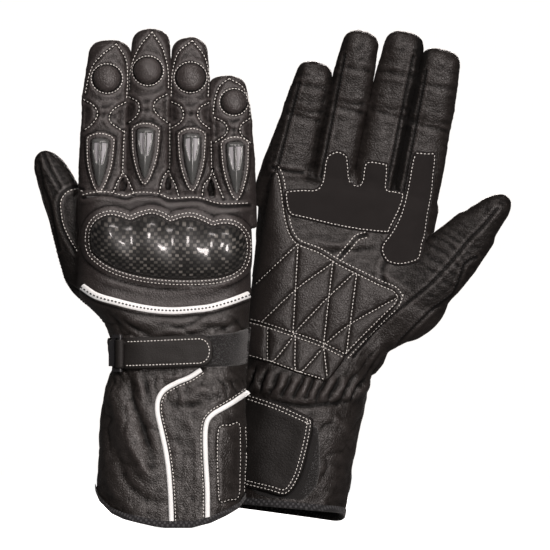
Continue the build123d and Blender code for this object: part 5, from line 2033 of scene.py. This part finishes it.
# ------------------------------------------------------------------ cuff flap and tape fuzz
def make_flap(glove):
    step = 1.1

    def height(x, z, away):
        """A swell inside the edge, slow waves, and a groove where it is sewn."""
        return (0.5 * bell(away - 6, 4.0) + 0.35 * np.sin(x * 0.16 + z * 0.07)
                - 0.35 * bell(away - 2.6, 0.7))

    outline = catmull(FLAP, 1.0, closed=True)
    verts, faces = sheet_on(glove, outline, PALM, lift=2.3, thick=1.9, step=step, edge=1.2,
                            height=height, under=-0.3)
    add_carried(glove, "flap_panel", verts, faces, MATERIALS["flap"], "palm_leather", "flap",
                "cuff_flap")
    tree = search_tree(verts, faces)
    stitches = []
    for inset in (1.7, 3.9):
        line = offset_line(FLAP, inset, closed=True)
        line = line[line[:, 0] < 37]
        # start after the widest gap, where the line was cut
        gaps = np.linalg.norm(np.diff(np.vstack([line, line[:1]]), axis=0), axis=1)
        line = np.roll(line, -(int(np.argmax(gaps)) + 1), axis=0)
        stitches += stitch_line(glove, line, PALM, curved=False, tree=tree)
    add_carried_stitches(glove, "flap_stitching", stitches, 0.24, "palm_leather", "flap")
    outline = catmull(FLAP_TAPE, 1.0, closed=True)
    verts, faces = sheet_on(glove, outline, PALM, lift=0.1, thick=0.8, step=step, edge=0.6,
                            under=1.0)
    add_carried(glove, "flap_loop_tape", verts, faces, MATERIALS["tape"], "hook_loop", "cuff",
                "cuff_loop_patch")
    make_fuzz(glove, FLAP_FUZZ, PALM, "flap_loop")


def make_fuzz(glove, outline, side, name):
    """Short curled loops of the landing tape."""
    per_square_mm = 1.5
    half_width = 0.075
    draw = np.random.RandomState(17)
    outline = np.asarray(outline, float)
    x0, z0 = outline.min(0)
    x1, z1 = outline.max(0)
    count = int((x1 - x0) * (z1 - z0) * per_square_mm)
    x = draw.uniform(x0, x1, count)
    z = draw.uniform(z0, z1, count)
    chosen = inside(outline, x, z) & (line_distance(outline, x, z, True) > 0.9)
    verts, faces = [], []
    for root_x, root_z in zip(x[chosen], z[chosen]):
        point, normal = skin_under(glove, root_x, root_z, side, glove.even_tree)
        root = np.array([root_x, point[1], root_z]) + normal * 0.65
        turn = draw.uniform(0, 2 * math.pi)
        along = np.array([math.cos(turn), 0, math.sin(turn)])
        along = along - (along @ normal) * normal
        along /= max(np.linalg.norm(along), 1e-6)
        across = np.cross(normal, along) * half_width
        height = draw.uniform(0.45, 0.95)
        reach = draw.uniform(0.25, 0.55)
        first = len(verts)
        # share of the reach, share of the height
        for out, up in ((-1, 0), (-0.9, 0.7), (0, 1), (0.9, 0.7), (1, 0)):
            middle = root + along * (reach * out) + normal * (height * up)
            verts += [middle - across, middle + across]
        for i in range(first, first + 8, 2):
            faces.append((i, i + 1, i + 3, i + 2))
    add_carried(glove, name + "_fuzz", np.array(verts), faces, MATERIALS["fuzz"], "hook_loop",
                "cuff")


# ------------------------------------------------------------------ sewing on the skin
def back_stitches(glove):
    stitches = []

    def sew(line, **options):
        stitches.extend(stitch_line(glove, line, BACK, **options))

    sew(offset_line(KNUCKLE_SEAM, 1.7), curved=False)
    for line in TIP_SEAMS + FINGER_SIDE_ARCS + WEB_SEAMS:
        sew(line)
    turn = np.linspace(0, 2 * math.pi, 60, endpoint=False)
    for x, z, radius in DOMES.values():
        circle = np.stack([x + (radius + 1.5) * np.cos(turn), z + (radius + 0.9) * np.sin(turn)],
                          -1)
        sew(circle, closed=True, curved=False, pitch=2.0)
    for finger in FINGERS:
        sew(shield_outline(finger, 3.0), closed=True, pitch=2.0)
    for grow in (2.0, 4.1):
        sew(guard_line(grow), closed=True, curved=False)
    sew(offset_line(CUFF_PIPING_LEFT, 2.6), curved=False)
    sew(offset_line(CUFF_PIPING_RIGHT, -2.6), curved=False)
    sew(CUFF_FRAME, closed=True)
    sew(CUFF_EDGE_SEAM)
    return stitches


def palm_stitches(glove):
    stitches = []

    def sew(line, **options):
        stitches.extend(stitch_line(glove, line, PALM, curved=False, **options))

    def on_heel(line):
        """The part of a line that lies on the heel panel."""
        line = resample(catmull(line, 1.0), 1.0)
        x, z = line.T
        return line[inside(HEEL, x, z) & (line_distance(HEEL, x, z, True) > 1.0)]

    # lift of the stitches clears the thickness of each patch
    for outline, lift in ((SUEDE_GRIP, 0.12 + 0.75), (SUEDE_STRIP, 0.12 + 1.05)):
        sew(offset_line(outline, 1.4, closed=True), closed=True, lift=lift, tree=glove.even_tree)
    for quilting in HEEL_QUILTING:
        line = on_heel(quilting)
        if len(line) > 4:
            sew(line, tree=glove.heel_tree)
    for line in double(HEEL_CROSS_SEAM, 2.4):
        sew(on_heel(line), tree=glove.heel_tree)
    for seam in (HEEL_TOP, HEEL_THUMB_SIDE):
        for line in double(seam, 3.0):
            part = on_heel(line)
            if len(part) > len(line) * 0.5:
                sew(part, tree=glove.heel_tree)
            else:
                sew(line)
    sew(on_heel(HEEL_FOOT_SEAM), tree=glove.heel_tree)
    for line in double(PALM_DART, 3.6):
        sew(line)
    return stitches


def make_stitching(glove):
    pale = back_stitches(glove) + palm_stitches(glove)
    pale += stitch_line(glove, offset_line(THUMB_PATCH, 1.4), BACK, curved=False)
    verts, faces, centres = stitches_mesh(pale, 0.235)
    add_bent(glove, "stitching", verts, faces, MATERIALS["thread"],
             face_region=regions(glove, centres))
    lines = [offset_line(THUMB_SEAM, 1.5), offset_line(THUMB_OUTER_SEAM, 1.3)]
    lines += [offset_line(side_line(glove.key, finger, side), 1.1 * side, curved=False)
              for finger, side in SIDE_PANELS]
    dark = []
    for line in lines:
        dark += stitch_line(glove, line, PALM, curved=False)
    verts, faces, centres = stitches_mesh(dark, 0.30)
    add_bent(glove, "dark_stitching", verts, faces, MATERIALS["black_thread"],
             face_region=regions(glove, centres))
    middle = resample(catmull(HAND_PIPING, 1.0), 1.0)
    on_piping = stitch_line(glove, middle, BACK, curved=False, lift=0.12 + 1.15,
                            tree=glove.even_tree)
    verts, faces, _ = stitches_mesh(on_piping, 0.42)
    add_bent(glove, "piping_stitching", verts, faces, MATERIALS["black_thread"],
             face_region=np.zeros(len(faces), int))


def make_glove(key):
    glove = build_skin(key)
    make_leather(glove)
    make_inner_linings(glove)
    make_hem(glove)
    make_piping(glove)
    make_guard(glove)
    for finger in FINGERS:
        make_shield(glove, finger)
    make_palm_patches(glove)
    wrist_tape = resample(WRIST_TAPE, 1.0, closed=True)
    make_wrist_tape(glove, wrist_tape)
    make_strap(glove)
    make_flap(glove)
    make_stitching(glove)
    make_fuzz(glove, wrist_tape, BACK, "wrist_loop")


# ------------------------------------------------------------------ stage, lights, camera
def make_world():
    """A pale background that lights the gloves only faintly."""
    world = bpy.data.worlds.new("studio")
    bpy.context.scene.world = world
    world.use_nodes = True
    background = world.node_tree.nodes["Background"]
    nodes = Nodes(world.node_tree)
    seen = nodes.node("LightPath").outputs["Is Camera Ray"]
    background.inputs[0].default_value = (0.96, 0.93, 0.91, 1)
    nodes.feed(background.inputs[1], nodes.mix_value(seen, 0.05, 1.1))


def make_floor():
    """A plain floor, pale to the camera and darker to the light that bounces off it."""
    half, z = 4.0, -0.0004
    floor = to_object("studio_floor", [(-half, -half, z), (half, -half, z), (half, half, z),
                                       (-half, half, z)], [(0, 1, 2, 3)])
    floor.data.polygons[0].use_smooth = True
    paper = Surface("studio_paper")
    grain = paper.noise(paper.coords(scale=60.0), scale=1.0, detail=3)
    seen = paper.node("LightPath").outputs["Is Camera Ray"]
    pale = paper.mix_color(grain, (0.80, 0.80, 0.80), (0.86, 0.86, 0.86))
    paper.set({"Base Color": paper.mix_color(seen, (0.10, 0.10, 0.10), pale), "Roughness": 0.9,
               "Emission Color": (1, 1, 1), "Emission Strength": paper.mul(seen, 0.95)})
    floor.data.materials.append(paper.material)


def add_light(name, location, target, width, height, power):
    light = bpy.data.lights.new(name, "AREA")
    light.shape = "RECTANGLE"
    light.size = width
    light.size_y = height
    light.energy = power
    light.color = (1.0, 0.92, 0.89)
    obj = bpy.data.objects.new(name, light)
    obj.location = location
    aim = Vector(target) - Vector(location)
    obj.rotation_euler = aim.to_track_quat("-Z", "Y").to_euler()
    bpy.context.scene.collection.objects.link(obj)


def make_lights():
    add_light("key", (0.85, -1.75, 0.42), (0.06, 0.05, 0.16), width=0.38, height=0.7, power=30)
    add_light("fill", (-0.35, -2.0, 1.20), (0.06, 0.05, 0.17), width=0.42, height=0.42, power=19)
    add_light("top", (0.1, -0.50, 1.5), (0.06, 0.05, 0.17), width=0.8, height=0.35, power=8)
    add_light("back", (0.35, 2.0, 0.75), (0.06, 0.05, 0.16), width=0.9, height=0.9, power=34)


def make_camera():
    """A far camera with a long lens, looking along +Y."""
    distance, view_width = 15.0, 0.341
    data = bpy.data.cameras.new("camera")
    camera = bpy.data.objects.new("camera", data)
    bpy.context.scene.collection.objects.link(camera)
    camera.location = (0.0639, -distance, 0.1562)
    camera.rotation_euler = (math.radians(90), 0, 0)
    data.sensor_width = 36.0
    data.lens = 36.0 * distance / view_width
    data.clip_start = 1.0
    data.clip_end = 100.0
    bpy.context.scene.camera = camera
    bpy.context.scene.view_settings.view_transform = "Standard"


make_glove("a")
make_glove("b")
make_world()
make_floor()
make_lights()
make_camera()
